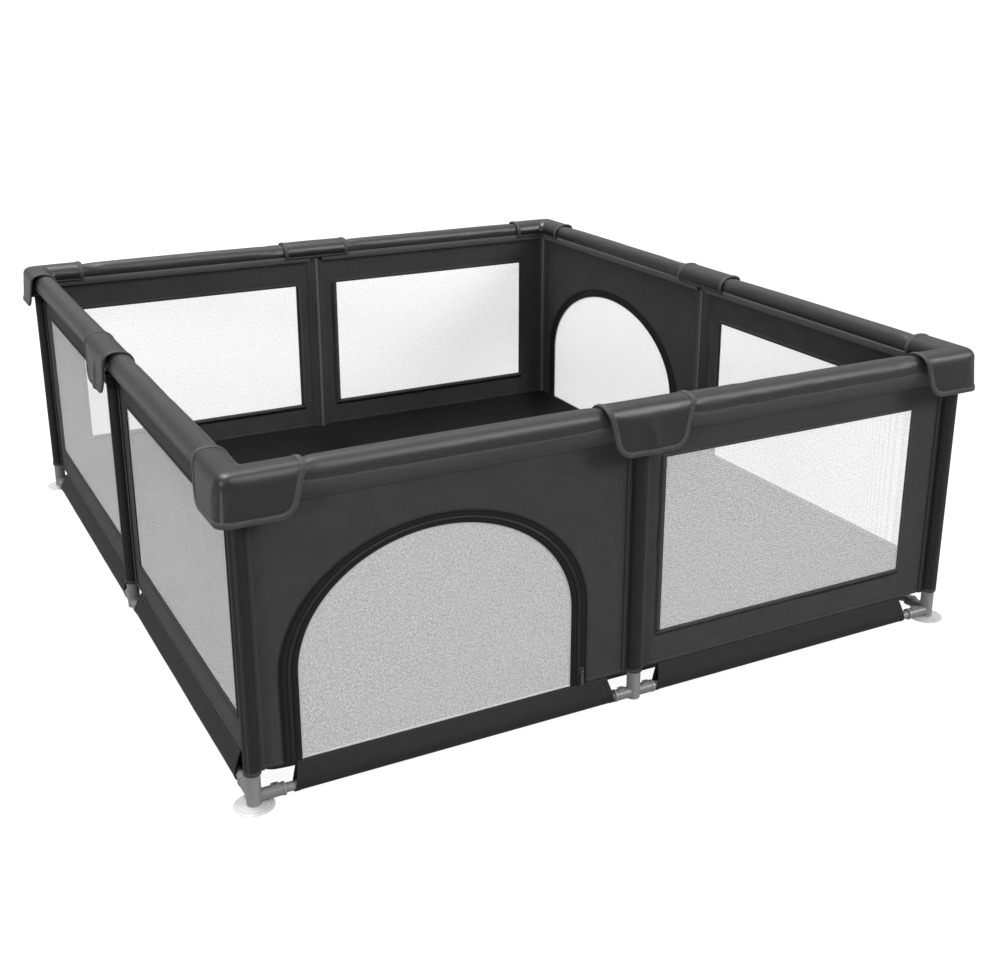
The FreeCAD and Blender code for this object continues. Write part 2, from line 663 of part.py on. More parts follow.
for corner_name, (turn_degrees, post_x, post_y) in CORNERS.items():
    make_post(corner_name, post_x, post_y)
    foot = make_bottom_connector("foot_connector_" + corner_name, CORNER_ARMS, "corner_arm", "snap_corner", True)
    node("foot_connector_" + corner_name, at_corner(foot, corner_name))
    make_suction_cup(corner_name)
    make_corner_cap(corner_name)
    for arm_axis in "XY":
        make_snap_button(f"{corner_name}_{arm_axis.lower()}", corner_name, arm_axis)

for wall_name, (turn_degrees, post_x, post_y, wall_length, short_name) in WALLS.items():
    make_post(wall_name + "_middle", post_x, post_y)
    tee = make_bottom_connector("tee_connector_" + wall_name, MIDDLE_ARMS, "middle_arm", "snap_middle", False)
    node("tee_connector_" + wall_name, at_wall(tee, wall_name))
    make_middle_cap(wall_name)
    make_wall_fabric(wall_name)
    make_window_mesh(wall_name)

make_level_tubes("bottom_tubes", "base_tube", "base_axis", True)
make_level_tubes("top_tubes", "tube_dia", "rail_axis", False)
make_rail_foam()
node("top_corner_connectors", group("top_corner_connectors", [
    at_corner(make_top_connector("top_corner_" + corner_name, CORNER_ARMS), corner_name)
    for corner_name in CORNERS]))
node("top_tee_connectors", group("top_tee_connectors", [
    at_wall(make_top_connector("top_tee_" + wall_name, MIDDLE_ARMS), wall_name) for wall_name in WALLS]))
make_floor_mat()

for wall_name in DOORS:
    make_door_surround(wall_name)
    make_zip_tape(wall_name)
    make_door(wall_name)
    make_zip_slider(wall_name)
    make_zip_pull(wall_name)

doc.recompute()

faults = [thing.Label for thing in doc.Objects if {"Invalid", "Error"} & set(thing.State)]
faults += [thing.Label for thing in nodes if thing.Shape.isNull() or not thing.Shape.isValid()]
if faults:
    raise RuntimeError("these objects failed: " + ", ".join(faults))

os.makedirs("parts", exist_ok=True)
for thing in nodes:
    thing.Shape.exportStep(f"parts/{thing.Label}.step")
print(len(nodes), "parts written")
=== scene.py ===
"""The looks of a rectangular playpen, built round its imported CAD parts.

Everything is in metres in the row frame: X along the front wall, Y from front to back, Z up.  A wall
is drawn in its own frame, X along it from its middle post and Y inwards; a corner is drawn with its
two rails leaving along +X and +Y.
"""

import math

import bmesh
import bpy
import numpy as np
from mathutils import Matrix, Vector


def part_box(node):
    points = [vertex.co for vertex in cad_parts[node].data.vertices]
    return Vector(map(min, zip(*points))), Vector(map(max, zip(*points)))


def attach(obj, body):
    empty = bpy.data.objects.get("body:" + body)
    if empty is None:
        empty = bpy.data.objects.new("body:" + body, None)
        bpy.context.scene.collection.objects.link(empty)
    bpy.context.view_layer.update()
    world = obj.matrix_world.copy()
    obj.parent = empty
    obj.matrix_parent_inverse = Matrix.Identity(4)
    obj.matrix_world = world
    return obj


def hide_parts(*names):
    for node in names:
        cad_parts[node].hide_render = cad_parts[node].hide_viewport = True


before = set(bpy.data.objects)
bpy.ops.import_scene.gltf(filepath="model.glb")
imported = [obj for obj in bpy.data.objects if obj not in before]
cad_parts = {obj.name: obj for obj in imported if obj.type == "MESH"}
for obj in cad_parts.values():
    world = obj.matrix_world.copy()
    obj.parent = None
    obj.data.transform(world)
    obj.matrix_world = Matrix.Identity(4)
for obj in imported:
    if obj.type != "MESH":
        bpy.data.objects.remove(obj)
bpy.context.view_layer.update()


# ---- places, read from the CAD

def middle_of(node):
    low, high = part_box(node)
    return (low + high) / 2


def mm(*points):
    """Section points or lengths given in millimetres."""
    return np.array(points) * 0.001


HALF_X = middle_of("post_right_middle").x
HALF_Y = middle_of("post_back_middle").y
RAIL = middle_of("top_tubes").z
BASE = middle_of("bottom_tubes").z
PANEL_LOW, PANEL_HIGH = (end.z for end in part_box("door_surround_front"))
WINDOW_LOW, WINDOW_HIGH = (end.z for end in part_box("window_mesh_back"))
CORNER_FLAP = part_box("corner_cap_front_left")[0].z
MIDDLE_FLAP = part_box("middle_cap_front")[0].z
CLOTH_TOP = PANEL_HIGH + 0.002  # the wall cloth ends inside the rail cover
CLOTH = 0.008  # middle of the wall cloth, inwards from the post axes
ZIP_FACE = 0.0055  # outer face of the zip tape and of a door's border
POST_EDGE = 0.0168  # the wall cloth starts this far from a post's axis
POST_RADIUS = 0.0165  # outside of a post's sleeve
RAIL_RADIUS = 0.0268
CORNER_REACH = 0.125  # how far a cap's end lies from the corner or the middle post
MIDDLE_REACH = 0.106
LEFT, RIGHT = -1, 1
OUTSIDE = np.array([0.0, -1.0, 0.0])
INSIDE = -OUTSIDE

# degrees turned, place of the middle post, and half the wall's length
WALLS = {
    "front": (0, 0, -HALF_Y, HALF_X),
    "right": (90, HALF_X, 0, HALF_Y),
    "back": (180, 0, HALF_Y, HALF_X),
    "left": (270, -HALF_X, 0, HALF_Y),
}
CORNERS = {
    "front_left": (0, -HALF_X, -HALF_Y),
    "front_right": (90, HALF_X, -HALF_Y),
    "back_right": (180, HALF_X, HALF_Y),
    "back_left": (270, -HALF_X, HALF_Y),
}
# middle post axis to the window, and corner post axis to the window
MARGINS = {"front": (0.066, 0.108), "back": (0.066, 0.108), "left": (0.085, 0.105), "right": (0.085, 0.105)}
# signed distance of the door's centre line from the middle post, and half the width of its mesh
DOORS = {"front": (-0.457, 0.300), "right": (0.508, 0.358)}
DOOR_HIGH = 0.497
DOOR_SPRING = 0.250
ZIP_BAND = 0.018
DOOR_TRIM_START = 0.006  # share of the arch without piping or teeth, clear of the base sleeve
CROWN_SHARE = 0.7  # share of a band's width that is left at the top of the arch


def frame_of(place):
    """The frame of a wall or a corner in the row frame, as a matrix; None is the row frame itself."""
    if place is None:
        return np.identity(4)
    degrees, x, y = (WALLS | CORNERS)[place][:3]
    return np.array(Matrix.Translation((x, y, 0)) @ Matrix.Rotation(math.radians(degrees), 4, "Z"))


def half_name(wall, side):
    return f"{wall}_{'left' if side == LEFT else 'right'}"


def door_side(wall):
    """LEFT or RIGHT for a wall with a door, and 0 for the others."""
    return math.copysign(1, DOORS[wall][0]) if wall in DOORS else 0


# ---- materials

class Shader:
    """The nodes of a material or a world.  Its methods add nodes and return their outputs."""

    def __init__(self, owner, last_node):
        self.owner = owner
        owner.use_nodes = True
        self.tree = owner.node_tree
        self.surface = self.tree.nodes[last_node].inputs

    def node(self, kind, inputs=None, **settings):
        made = self.tree.nodes.new("ShaderNode" + kind)
        for key, value in settings.items():
            setattr(made, key, value)
        for key, value in (inputs or {}).items():
            if isinstance(value, bpy.types.NodeSocket):
                self.tree.links.new(value, made.inputs[key])
            else:
                made.inputs[key].default_value = value
        return made.outputs

    def join(self, key, output):
        self.tree.links.new(output, self.surface[key])

    def cloth_uv(self):
        return self.node("UVMap", uv_map="cloth")["UV"]

    def math(self, operation, *values):
        return self.node("Math", dict(enumerate(values)), operation=operation)[0]

    def scaled(self, vector, factor):
        return self.node("VectorMath", {0: vector, 3: factor}, operation="SCALE")["Vector"]

    def noise(self, scale, detail, roughness=0.5, **vector):
        return self.node("TexNoise", {"Scale": scale, "Detail": detail, "Roughness": roughness, **vector})["Fac"]

    def remap(self, value, low, high, from_low=0.0, from_high=1.0):
        return self.node("MapRange", {"Value": value, "From Min": from_low, "From Max": from_high,
                                      "To Min": low, "To Max": high})["Result"]

    def varied(self, noise, middle, spread):
        """A noise turned into a value that mostly stays within spread of the middle."""
        return self.remap(noise, middle - spread, middle + spread, 0.3, 0.7)

    def mottled(self, colour, scale, spread, **vector):
        """A colour that drifts lighter and darker by spread over the given scale."""
        return self.scaled(colour, self.varied(self.noise(scale, 4.0, 0.6, **vector), 1, spread))

    def relief(self, height, strength, distance):
        bump = self.node("Bump", {"Height": height, "Strength": strength, "Distance": distance})
        self.join("Normal", bump["Normal"])


def new_object(name, data):
    made = bpy.data.objects.new(name, data)
    bpy.context.scene.collection.objects.link(made)
    return made


def new_material(name, colour, roughness, specular=0.5, sheen=0.0, coat=0.0):
    made = Shader(bpy.data.materials.new(name), "Principled BSDF")
    fixed = {"Base Color": (*colour, 1), "Roughness": roughness, "Sheen Weight": sheen, "Sheen Roughness": 0.45,
             "Coat Weight": coat, "Specular IOR Level": specular}
    for key, value in fixed.items():
        made.surface[key].default_value = value
    return made


def woven(name, colour, pitch, roughness, sheen, specular, weave=0.5, bump=0.5):
    """A plain weave laid out by the piece's own UVs, which are in metres."""
    cloth = new_material(name, colour, roughness, specular, sheen)
    uv = cloth.cloth_uv()
    threads = cloth.scaled(uv, 1 / pitch)
    split = cloth.node("SeparateXYZ", {0: threads})
    warp, weft = (cloth.math("ABSOLUTE", cloth.math("SINE", cloth.math("MULTIPLY", split[axis], math.pi)))
                  for axis in "XY")
    over = cloth.node("TexChecker", {"Vector": threads, "Scale": 1.0, "Color1": (1, 1, 1, 1),
                                     "Color2": (0, 0, 0, 1)})["Fac"]
    height = cloth.node("Mix", {"Factor": over, "A": warp, "B": weft}, data_type="FLOAT")["Result"]
    along = cloth.node("VectorMath", {0: uv, 1: (60, 900, 1)}, operation="MULTIPLY")["Vector"]
    slub = cloth.varied(cloth.noise(1.0, 2.0, Vector=along), 1, 0.1)
    # painted shade: the colour is darker in the gaps between threads and lighter on their crowns; the slub is the
    # yarn's own uneven tone
    tone_and_painted_shade = cloth.math("MULTIPLY", cloth.remap(height, 1 - weave, 1 + weave * 0.6), slub)
    cloth.join("Base Color", cloth.scaled(cloth.mottled(colour, 7.0, 0.12), tone_and_painted_shade))
    cloth.join("Roughness", cloth.remap(height, min(1, roughness + 0.12), roughness - 0.06))
    cloth.relief(height, bump, pitch * 0.3)
    return cloth.owner


def netting(name, colour, pitch, slant, rib_pitch, rib):
    """A knitted net: round holes in a grid turned by slant degrees, with ribs rib lighter and darker."""
    net = new_material(name, colour, 0.55, 0.35, 0.1)
    uv = net.cloth_uv()
    turned_uv = net.node("Mapping", {"Vector": uv, "Rotation": (0, 0, math.radians(slant)),
                                     "Scale": (2 * math.pi / pitch, 1.6 * math.pi / pitch, 1)})["Vector"]
    split = net.node("SeparateXYZ", {0: turned_uv})
    height = net.math("ADD", *(net.math("COSINE", split[axis]) for axis in "XY"))
    open_below, slack = 0.02, 0.35
    loose = net.remap(net.noise(300.0, 3.0, 0.7, Vector=uv), open_below - slack, open_below + slack, 0.25, 0.75)
    net.join("Alpha", net.math("LESS_THAN", height, loose))
    # painted shade: each thread is darker towards the edge of a hole, where the round yarn turns away from the
    # light; the ribs below are the knit's own pattern
    tone_and_painted_shade = net.remap(height, 1.06, 0.86, -2.0, open_below)
    ribs = net.math("SINE", net.math("MULTIPLY", split["Y"], 1.25 * pitch / rib_pitch))
    tone_and_painted_shade = net.math("MULTIPLY", tone_and_painted_shade, net.remap(ribs, 1 - rib, 1 + rib, -1.0))
    net.join("Base Color", net.scaled(net.mottled(colour, 190.0, 0.24, Vector=uv), tone_and_painted_shade))
    return net.owner


def moulded(name, colour, roughness, grain, bump, ridge_wear_and_highlight=0.0):
    """Moulded plastic or powder coat: a fine grain, slow drift of tone, and ridges painted lighter, partly as edge
    wear and partly as a painted highlight.
    """
    coat = new_material(name, colour, roughness)
    tone = coat.mottled(colour, 14.0, 0.08)
    if ridge_wear_and_highlight:
        # painted highlight together with edge wear: the colour is made lighter on sharp ridges, whatever the lamps
        # do
        ridge = coat.node("NewGeometry")["Pointiness"]
        tone = coat.scaled(tone, coat.remap(ridge, 1.0, 1 + ridge_wear_and_highlight, 0.52, 0.60))
    coat.join("Base Color", tone)
    speck = coat.noise(grain, 3.0, 0.65)
    coat.join("Roughness", coat.varied(speck, roughness, 0.08))
    coat.relief(speck, bump, 0.0002)
    return coat.owner


def cloudy_vinyl(name, colour):
    vinyl = new_material(name, colour, 0.22, coat=0.2)
    haze = vinyl.noise(45.0, 4.0)
    vinyl.join("Alpha", vinyl.varied(haze, 0.71, 0.09))
    vinyl.join("Base Color", vinyl.mottled(colour, 30.0, 0.06))
    vinyl.relief(haze, 0.25, 0.0004)
    return vinyl.owner


PANEL_CLOTH = woven("panel_cloth", (0.031, 0.031, 0.0314), 0.0009, 0.78, 0.05, 0.30)
SLEEVE_CLOTH = woven("sleeve_cloth", (0.009, 0.009, 0.0092), 0.0009, 0.66, 0.03, 0.27)
CAP_CLOTH = woven("cap_cloth", (0.009, 0.009, 0.0092), 0.0009, 0.33, 0.02, 0.55, weave=0.35, bump=0.25)
RAIL_CLOTH = woven("rail_cloth", (0.021, 0.021, 0.0212), 0.0009, 0.36, 0.02, 0.42, weave=0.35, bump=0.25)
# painted light: the skirt cloth is made lighter than the panel and rail cloth, to lift the shade on its
# downward-facing slope
SKIRT_CLOTH = woven("skirt_cloth", (0.050, 0.050, 0.0504), 0.0009, 0.60, 0.04, 0.35, weave=0.4)
BINDING = woven("binding_tape", (0.030, 0.030, 0.0304), 0.0016, 0.7, 0.06, 0.35, weave=0.45)
LIGHT_BINDING = woven("inner_binding_tape", (0.090, 0.090, 0.0905), 0.0016, 0.7, 0.06, 0.35, weave=0.45)
CAP_BINDING = woven("cap_binding_tape", (0.036, 0.036, 0.0364), 0.0016, 0.6, 0.06, 0.4, weave=0.45)
MAT_CLOTH = woven("mat_oxford", (0.005, 0.005, 0.0051), 0.0014, 0.75, 0.02, 0.18)
ZIP_CLOTH = woven("zip_tape_cloth", (0.006, 0.006, 0.0061), 0.0012, 0.75, 0.02, 0.22)
HEM_CLOTH = woven("net_hem_cloth", (0.42, 0.42, 0.42), 0.0012, 0.6, 0.1, 0.35, weave=0.15)
THREAD = woven("sewing_thread", (0.075, 0.075, 0.076), 0.0008, 0.6, 0.2, 0.4)
FINE_NET = netting("window_net", (0.90, 0.90, 0.90), 0.0014, 0, 0.0062, 0.09)
DOOR_NET = netting("door_net", (0.89, 0.89, 0.89), 0.0015, 38, 0.0050, 0.10)
# the last number on the moulded lines lightens ridges: partly edge wear, partly a painted highlight
PLASTIC = moulded("grey_plastic", (0.15, 0.15, 0.152), 0.34, 900.0, 0.12, ridge_wear_and_highlight=0.25)
BLACK_PLASTIC = moulded("black_plastic", (0.014, 0.014, 0.014), 0.35, 1200.0, 0.1, ridge_wear_and_highlight=0.6)
COIL = moulded("zip_coil_nylon", (0.012, 0.012, 0.012), 0.32, 1500.0, 0.1)
STEEL = moulded("powder_coated_steel", (0.15, 0.15, 0.152), 0.36, 1600.0, 0.2, ridge_wear_and_highlight=0.15)
ENAMEL = moulded("black_enamel", (0.020, 0.020, 0.020), 0.25, 800.0, 0.1, ridge_wear_and_highlight=1.2)
VINYL = cloudy_vinyl("cloudy_vinyl", (0.56, 0.56, 0.56))


# ---- mesh making

def cumulative(points):
    """Distance travelled from the first row of points to each row, as a mean over the columns."""
    steps = np.linalg.norm(np.diff(points, axis=0), axis=-1)
    return np.concatenate([[0.0], np.cumsum(steps.reshape(len(steps), -1).mean(axis=1))])


def stacked(*columns):
    """Points from their coordinates, each an array or one number."""
    return np.stack(np.broadcast_arrays(*columns), -1)


def full_turn(count):
    return np.linspace(0, 2 * np.pi, count, endpoint=False)


def unit(vectors):
    return vectors / np.maximum(np.linalg.norm(vectors, axis=-1, keepdims=True), 1e-12)


def ripple(a, b, seed, size):
    """A smooth, repeatable unevenness over two coordinates in metres."""
    total = np.zeros(np.broadcast(a, b).shape)
    waves = ((0.9, 1.0), (0.55, 0.8), (0.31, 0.55), (0.19, 0.35), (0.12, 0.22), (0.075, 0.13))
    for k, (pitch, weight) in enumerate(waves):
        turn = seed * 1.7 + k * 2.399
        phase = seed * 3.1 + k * 1.3
        total += weight * np.sin(2 * np.pi * (a * math.cos(turn) + b * math.sin(turn)) / pitch + phase)
    return size * total / 1.6


def fade(value, low, high, width=0.03):
    """0 at both ends of a range and 1 well inside it."""
    return np.clip(np.minimum(value - low, high - value) / width, 0, 1) ** 1.5


def spaced(low, high, step):
    return np.linspace(low, high, max(2, int(round(abs(high - low) / step)) + 1))


def ticks(*marks):
    """Sorted stations that include every mark."""
    return np.concatenate([spaced(a, b, 0.022)[:-1] for a, b in zip(marks, marks[1:])] + [marks[-1:]])


def swept(axis, stations, section):
    """Rings of a section, which gives the other two coordinates, at each station along an axis."""
    rings = np.zeros((len(stations), len(section), 3))
    rings[..., [k for k in range(3) if k != axis]] = section
    rings[..., axis] = np.asarray(stations)[:, None]
    return rings


def along_wall(xs, section):
    return swept(0, xs, section)


def up_post(zs, section):
    return swept(2, zs, section)


def circle(a, b, radius_a, radius_b, count=8):
    t = full_turn(count)
    return stacked(a + radius_a * np.cos(t), b + radius_b * np.sin(t))


def strip_section(a0, a1, b0, b1):
    """A flat strip's outline with its corners taken off."""
    ra, rb = min(0.3 * abs(a1 - a0), 0.0008), 0.35 * abs(b1 - b0)
    return np.array([(a0 + ra, b0), (a1 - ra, b0), (a1, b0 + rb), (a1, b1 - rb), (a1 - ra, b1), (a0 + ra, b1),
                     (a0, b1 - rb), (a0, b0 + rb)])


def edge_strip(edge, inner, normal, section):
    """Rings of a strip that wraps the edge of a surface.  A section point is (inwards, outwards)."""
    tangent = unit(np.gradient(edge, axis=0))
    inward = inner - edge
    inward = unit(inward - (inward * tangent).sum(-1, keepdims=True) * tangent)
    out = np.cross(tangent, inward)
    out = unit(out * np.sign((out * normal).sum(-1, keepdims=True)))
    return edge[:, None] + inward[:, None] * section[None, :, :1] + out[:, None] * section[None, :, 1:]


BOUND_EDGE = mm((11, 0.4), (10.2, 1.3), (5.5, 1.7), (0.8, 1.5), (-1.2, 0.4), (-1.2, -2.6), (0.8, -3.6),
                (5.5, -3.8), (11, -3))
STITCH_PITCH, STITCH_HALF, STITCH_THICK = 0.0044, 0.00155, 0.00042


def resampled(line, step):
    run = cumulative(line)
    at = np.linspace(0, run[-1], max(2, int(run[-1] / step) + 1))
    return np.stack([np.interp(at, run, column) for column in line.T], 1)


class Piece:
    """Gathers patches of quads, with UVs in metres, into one mesh."""

    def __init__(self, name, place=None):
        self.name, self.frame = name, frame_of(place)
        self.points, self.quads, self.uvs, self.count = [], [], [], 0

    def patch(self, rows, wrap=False, flat=None):
        """rows is (n, m, 3).  wrap closes it along m; flat gives the UVs as (n, m, 2) where the cut is known."""
        n, m = rows.shape[:2]
        columns = m if wrap else m - 1
        i, j = (k.ravel() for k in np.meshgrid(np.arange(n - 1), np.arange(columns), indexing="ij"))
        corners = ((i, j), (i + 1, j), (i + 1, j + 1), (i, j + 1))
        quads = np.stack([a * m + b % m for a, b in corners], 1)
        if flat is None:
            u = cumulative(rows)
            across = np.concatenate([rows, rows[:, :1]], axis=1) if wrap else rows
            v = cumulative(across.transpose(1, 0, 2))
            uv = np.stack([stacked(u[a], v[b]) for a, b in corners], 1)
        else:
            uv = flat.reshape(-1, 2)[quads]
        self.points.append(rows.reshape(-1, 3))
        self.quads.append(quads + self.count)
        self.uvs.append(uv)
        self.count += n * m
        return self

    def bar(self, rows):
        """A closed bar through rings, with a lid on its first and last ring."""
        self.patch(rows, wrap=True)
        for ring in (rows[0], rows[-1]):
            middle = ring.mean(axis=0)
            self.patch(np.stack([ring, middle + (ring - middle) * 0.05]), wrap=True)
            m = len(ring)
            index = np.arange(1, (m - 1) // 2)
            quads = np.stack([index, index + 1, m - 1 - index, m - index], 1)
            self.quads.append(quads + self.count - m)
            self.uvs.append(np.zeros((len(quads), 4, 2)))
        return self

    def sew(self, line, out):
        """Sewing stitches along a line; out is the direction away from the cloth at each point."""
        both = resampled(np.concatenate([line, np.broadcast_to(out, line.shape)], 1), STITCH_PITCH)
        centre, out = both[:, :3], unit(both[:, 3:])
        tangent = unit(np.gradient(centre, axis=0))
        side = np.cross(tangent, out)
        spots = [(-1, 0, 0), (-0.5, 0.8, 0), (-0.5, 0, 1), (-0.5, -0.8, 0), (0.5, 0.8, 0), (0.5, 0, 1),
                 (0.5, -0.8, 0), (1, 0, 0)]
        corners = [centre + tangent * (a * STITCH_HALF) + side * (b * STITCH_THICK) + out * (c * STITCH_THICK)
                   for a, b, c in spots]
        quads = np.array([(1, 2, 5, 4), (2, 3, 6, 5), (0, 1, 2, 3), (7, 6, 5, 4)])
        count = len(centre)
        self.points.append(np.stack(corners, 1).reshape(-1, 3))
        self.quads.append((quads[None] + 8 * np.arange(count)[:, None, None]).reshape(-1, 4) + self.count)
        self.uvs.append(np.tile(mm((0, 0), (3, 0), (3, 1), (0, 1)), (count * 4, 1, 1)))
        self.count += 8 * count

    def seam(self, xs, ys, zs, out):
        """Stitches along a straight line; xs, ys and zs are (start, end) or one number."""
        start, end = np.array(np.broadcast_arrays(xs, ys, zs, (0.0, 0.0))[:3]).T
        count = max(2, int(np.linalg.norm(end - start) / 0.1) + 1)
        self.sew(start + (end - start) * np.linspace(0, 1, count)[:, None], out)

    def build(self, material, slot="wall_fabric", body="pen", stands_for=()):
        points, quads, uvs = (np.concatenate(parts) for parts in (self.points, self.quads, self.uvs))
        world = points @ self.frame[:3, :3].T + self.frame[:3, 3]
        mesh = bpy.data.meshes.new(self.name)
        mesh.from_pydata(world.tolist(), [], quads.tolist(), shade_flat=False)
        layer = mesh.uv_layers.new(name="cloth")
        layer.data.foreach_set("uv", uvs.astype(np.float32).ravel())
        mesh.validate()
        bm = bmesh.new()
        bm.from_mesh(mesh)
        bmesh.ops.recalc_face_normals(bm, faces=bm.faces)
        bm.to_mesh(mesh)
        bm.free()
        mesh.materials.append(material)
        obj = new_object(self.name, mesh)
        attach(obj, body)
        if stands_for:
            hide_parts(*stands_for)
        return obj


def pieces(place, tag, *names):
    return [Piece(name + tag, place) for name in names]


# ---- soft padding by simulation

def puff(jobs):
    """Swells thin pads with air pressure, held at their pinned points.  A job is (obj, pinned point
    numbers, pressure, furthest move in metres, growth of the cloth)."""
    scene, frames = bpy.context.scene, 14
    for obj, pinned, pressure, _, growth in jobs:
        group = obj.vertex_groups.new(name="pinned")
        group.add([int(k) for k in pinned], 1.0, "REPLACE")
        cloth = obj.modifiers.new("cloth", "CLOTH")
        wanted = {"quality": 5, "mass": 0.25, "tension_stiffness": 12, "compression_stiffness": 12,
                  "shear_stiffness": 4, "bending_stiffness": 0.4, "use_pressure": True,
                  "uniform_pressure_force": pressure, "shrink_min": -growth, "vertex_group_mass": "pinned"}
        for key, value in wanted.items():
            setattr(cloth.settings, key, value)
        cloth.settings.effector_weights.gravity = 0
        cloth.collision_settings.use_collision = False
        cloth.point_cache.frame_start = 1
        cloth.point_cache.frame_end = frames
    for step in range(1, frames + 1):
        scene.frame_set(step)
    depsgraph = bpy.context.evaluated_depsgraph_get()
    results = [points_of(job[0].evaluated_get(depsgraph)) for job in jobs]
    for (obj, _, _, furthest, _), swollen in zip(jobs, results):
        rest = points_of(obj)
        move = swollen - rest
        length = np.linalg.norm(move, axis=1, keepdims=True)
        move = move * np.minimum(1, furthest / np.maximum(length, 1e-9))
        obj.modifiers.remove(obj.modifiers["cloth"])
        obj.vertex_groups.clear()
        obj.data.vertices.foreach_set("co", (rest + move).astype(np.float32).ravel())
        obj.data.update()
    scene.frame_set(1)


def points_of(obj):
    return np.array([v.co for v in obj.data.vertices])


def thicken(obj, thick):
    """Gives an open sheet its thickness, inwards from the drawn face."""
    solid = obj.modifiers.new("thick", "SOLIDIFY")
    solid.thickness = thick
    solid.offset = -1
    bpy.context.view_layer.objects.active = obj
    with bpy.context.temp_override(object=obj, active_object=obj, selected_objects=[obj]):
        bpy.ops.object.modifier_apply(modifier=solid.name)


# ---- padded rail covers

def make_rail_covers():
    """One soft tube for each half of a rail, pinched a little where a cap's end grips it."""
    jobs = []
    around = full_turn(44)
    seam_degrees, seam_depth, grip_depth, grip_width = 300, 0.0012, 0.0010, 0.010
    # the lower inner side is drawn in by the seam
    seam = seam_depth * np.exp(-((around - math.radians(seam_degrees)) / 0.16) ** 2)
    seam_column = round(seam_degrees / 360 * len(around))
    for wall, (*_, half) in WALLS.items():
        for side in (LEFT, RIGHT):
            xs = spaced(0.054, half - 0.054, 0.011)
            grips = (MIDDLE_REACH + 0.004, half - CORNER_REACH - 0.004)
            grip = sum(np.exp(-((xs - at) / grip_width) ** 2) for at in grips)
            swell = ripple(xs[:, None], around[None] * 0.081, len(jobs) + 3, 0.00035)
            radius = RAIL_RADIUS - grip_depth * grip[:, None] + swell - seam
            rings = stacked(side * xs[:, None], radius * np.cos(around), RAIL + radius * np.sin(around))
            cover = Piece("rail_cover_" + half_name(wall, side), wall).patch(rings, wrap=True)
            cover = cover.build(RAIL_CLOTH, stands_for=["rail_foam", "wall_fabric_" + wall])
            index = np.arange(radius.size).reshape(radius.shape)
            pinned = np.concatenate([index[0], index[-1], index[:, seam_column]])
            jobs.append((cover, pinned, 1.2, 0.0010, 0.004))
    return jobs


def make_rail_bindings():
    """The tape along the inner lower side of each rail, and the stitched skirt below its outer side."""
    rail_axis = (0, RAIL)
    tape_section = rail_axis + mm(
        (25, -10), (26.2, -11.2), (24, -19), (19.6, -32), (18.6, -32.4), (18, -31), (21.2, -16.5))
    skirt_section = rail_axis + mm(
        (-19, -2), (-21.5, -6), (-23.8, -11.5), (-24, -16), (-22.6, -20.5), (-17.6, -30), (-10.6, -39.5),
        (-4, -47), (2, -51.5), (4.4, -53), (4.6, -57), (6.6, -57), (6.8, -50.5), (-1, -45.5), (-8, -37.5),
        (-15, -28), (-19, -18), (-18, -8))
    for wall, (*_, half) in WALLS.items():
        tape, skirt, thread = pieces(wall, wall, "rail_binding_", "rail_skirt_", "rail_stitches_")
        for side in (LEFT, RIGHT):
            tape.bar(along_wall(side * spaced(0.020, half - 0.020, 0.02), tape_section))
            for y, z in rail_axis + mm((25.8, -14), (20.6, -30)):
                thread.seam((side * 0.020, side * (half - 0.020)), y, z, (0, 0.89, -0.45))
            rings = along_wall(side * spaced(0.030, half - 0.030, 0.012), skirt_section)
            drop = RAIL - rings[..., 2]
            free = np.clip((drop - 0.012) / 0.02, 0, 1) * np.clip((0.056 - drop) / 0.02, 0, 1)
            rings[..., 1] += ripple(rings[..., 0] * 1.4, rings[..., 2] * 1.5, 5 + side, 0.0012) * free
            skirt.bar(rings)
            for y, z in rail_axis + mm((-0.8, -49), (4.2, -54.5)):
                thread.seam((side * 0.030, side * (half - 0.030)), y, z, OUTSIDE)
        tape.build(LIGHT_BINDING)
        skirt.build(SKIRT_CLOTH)
        thread.build(THREAD)


# ---- wall cloth


def window_frame_bars(hems, thread, side, near, far):
    """The hem strips and stitches round a window, on both faces of the cloth."""
    for y0, y1, face, out, width in ((CLOTH - 0.0020, CLOTH - 0.0003, CLOTH - 0.0021, OUTSIDE, 0.007),
                                     (CLOTH + 0.0003, CLOTH + 0.0020, CLOTH + 0.0021, INSIDE, 0.010)):
        seam_at = width - 0.0018
        for z, sign in ((WINDOW_LOW, -1), (WINDOW_HIGH, 1)):
            hems.bar(along_wall(side * spaced(near - width, far + width, 0.03),
                                strip_section(y0, y1, z, z + sign * width)))
            thread.seam((side * near, side * far), face, z + sign * seam_at, out)
        for x, sign in ((near, -1), (far, 1)):
            section = strip_section(y0, y1, x, x + sign * width)[:, ::-1] * (side, 1)
            hems.bar(up_post(spaced(WINDOW_LOW, WINDOW_HIGH, 0.03), section))
            thread.seam(side * (x + sign * seam_at), face, (WINDOW_LOW, WINDOW_HIGH), out)


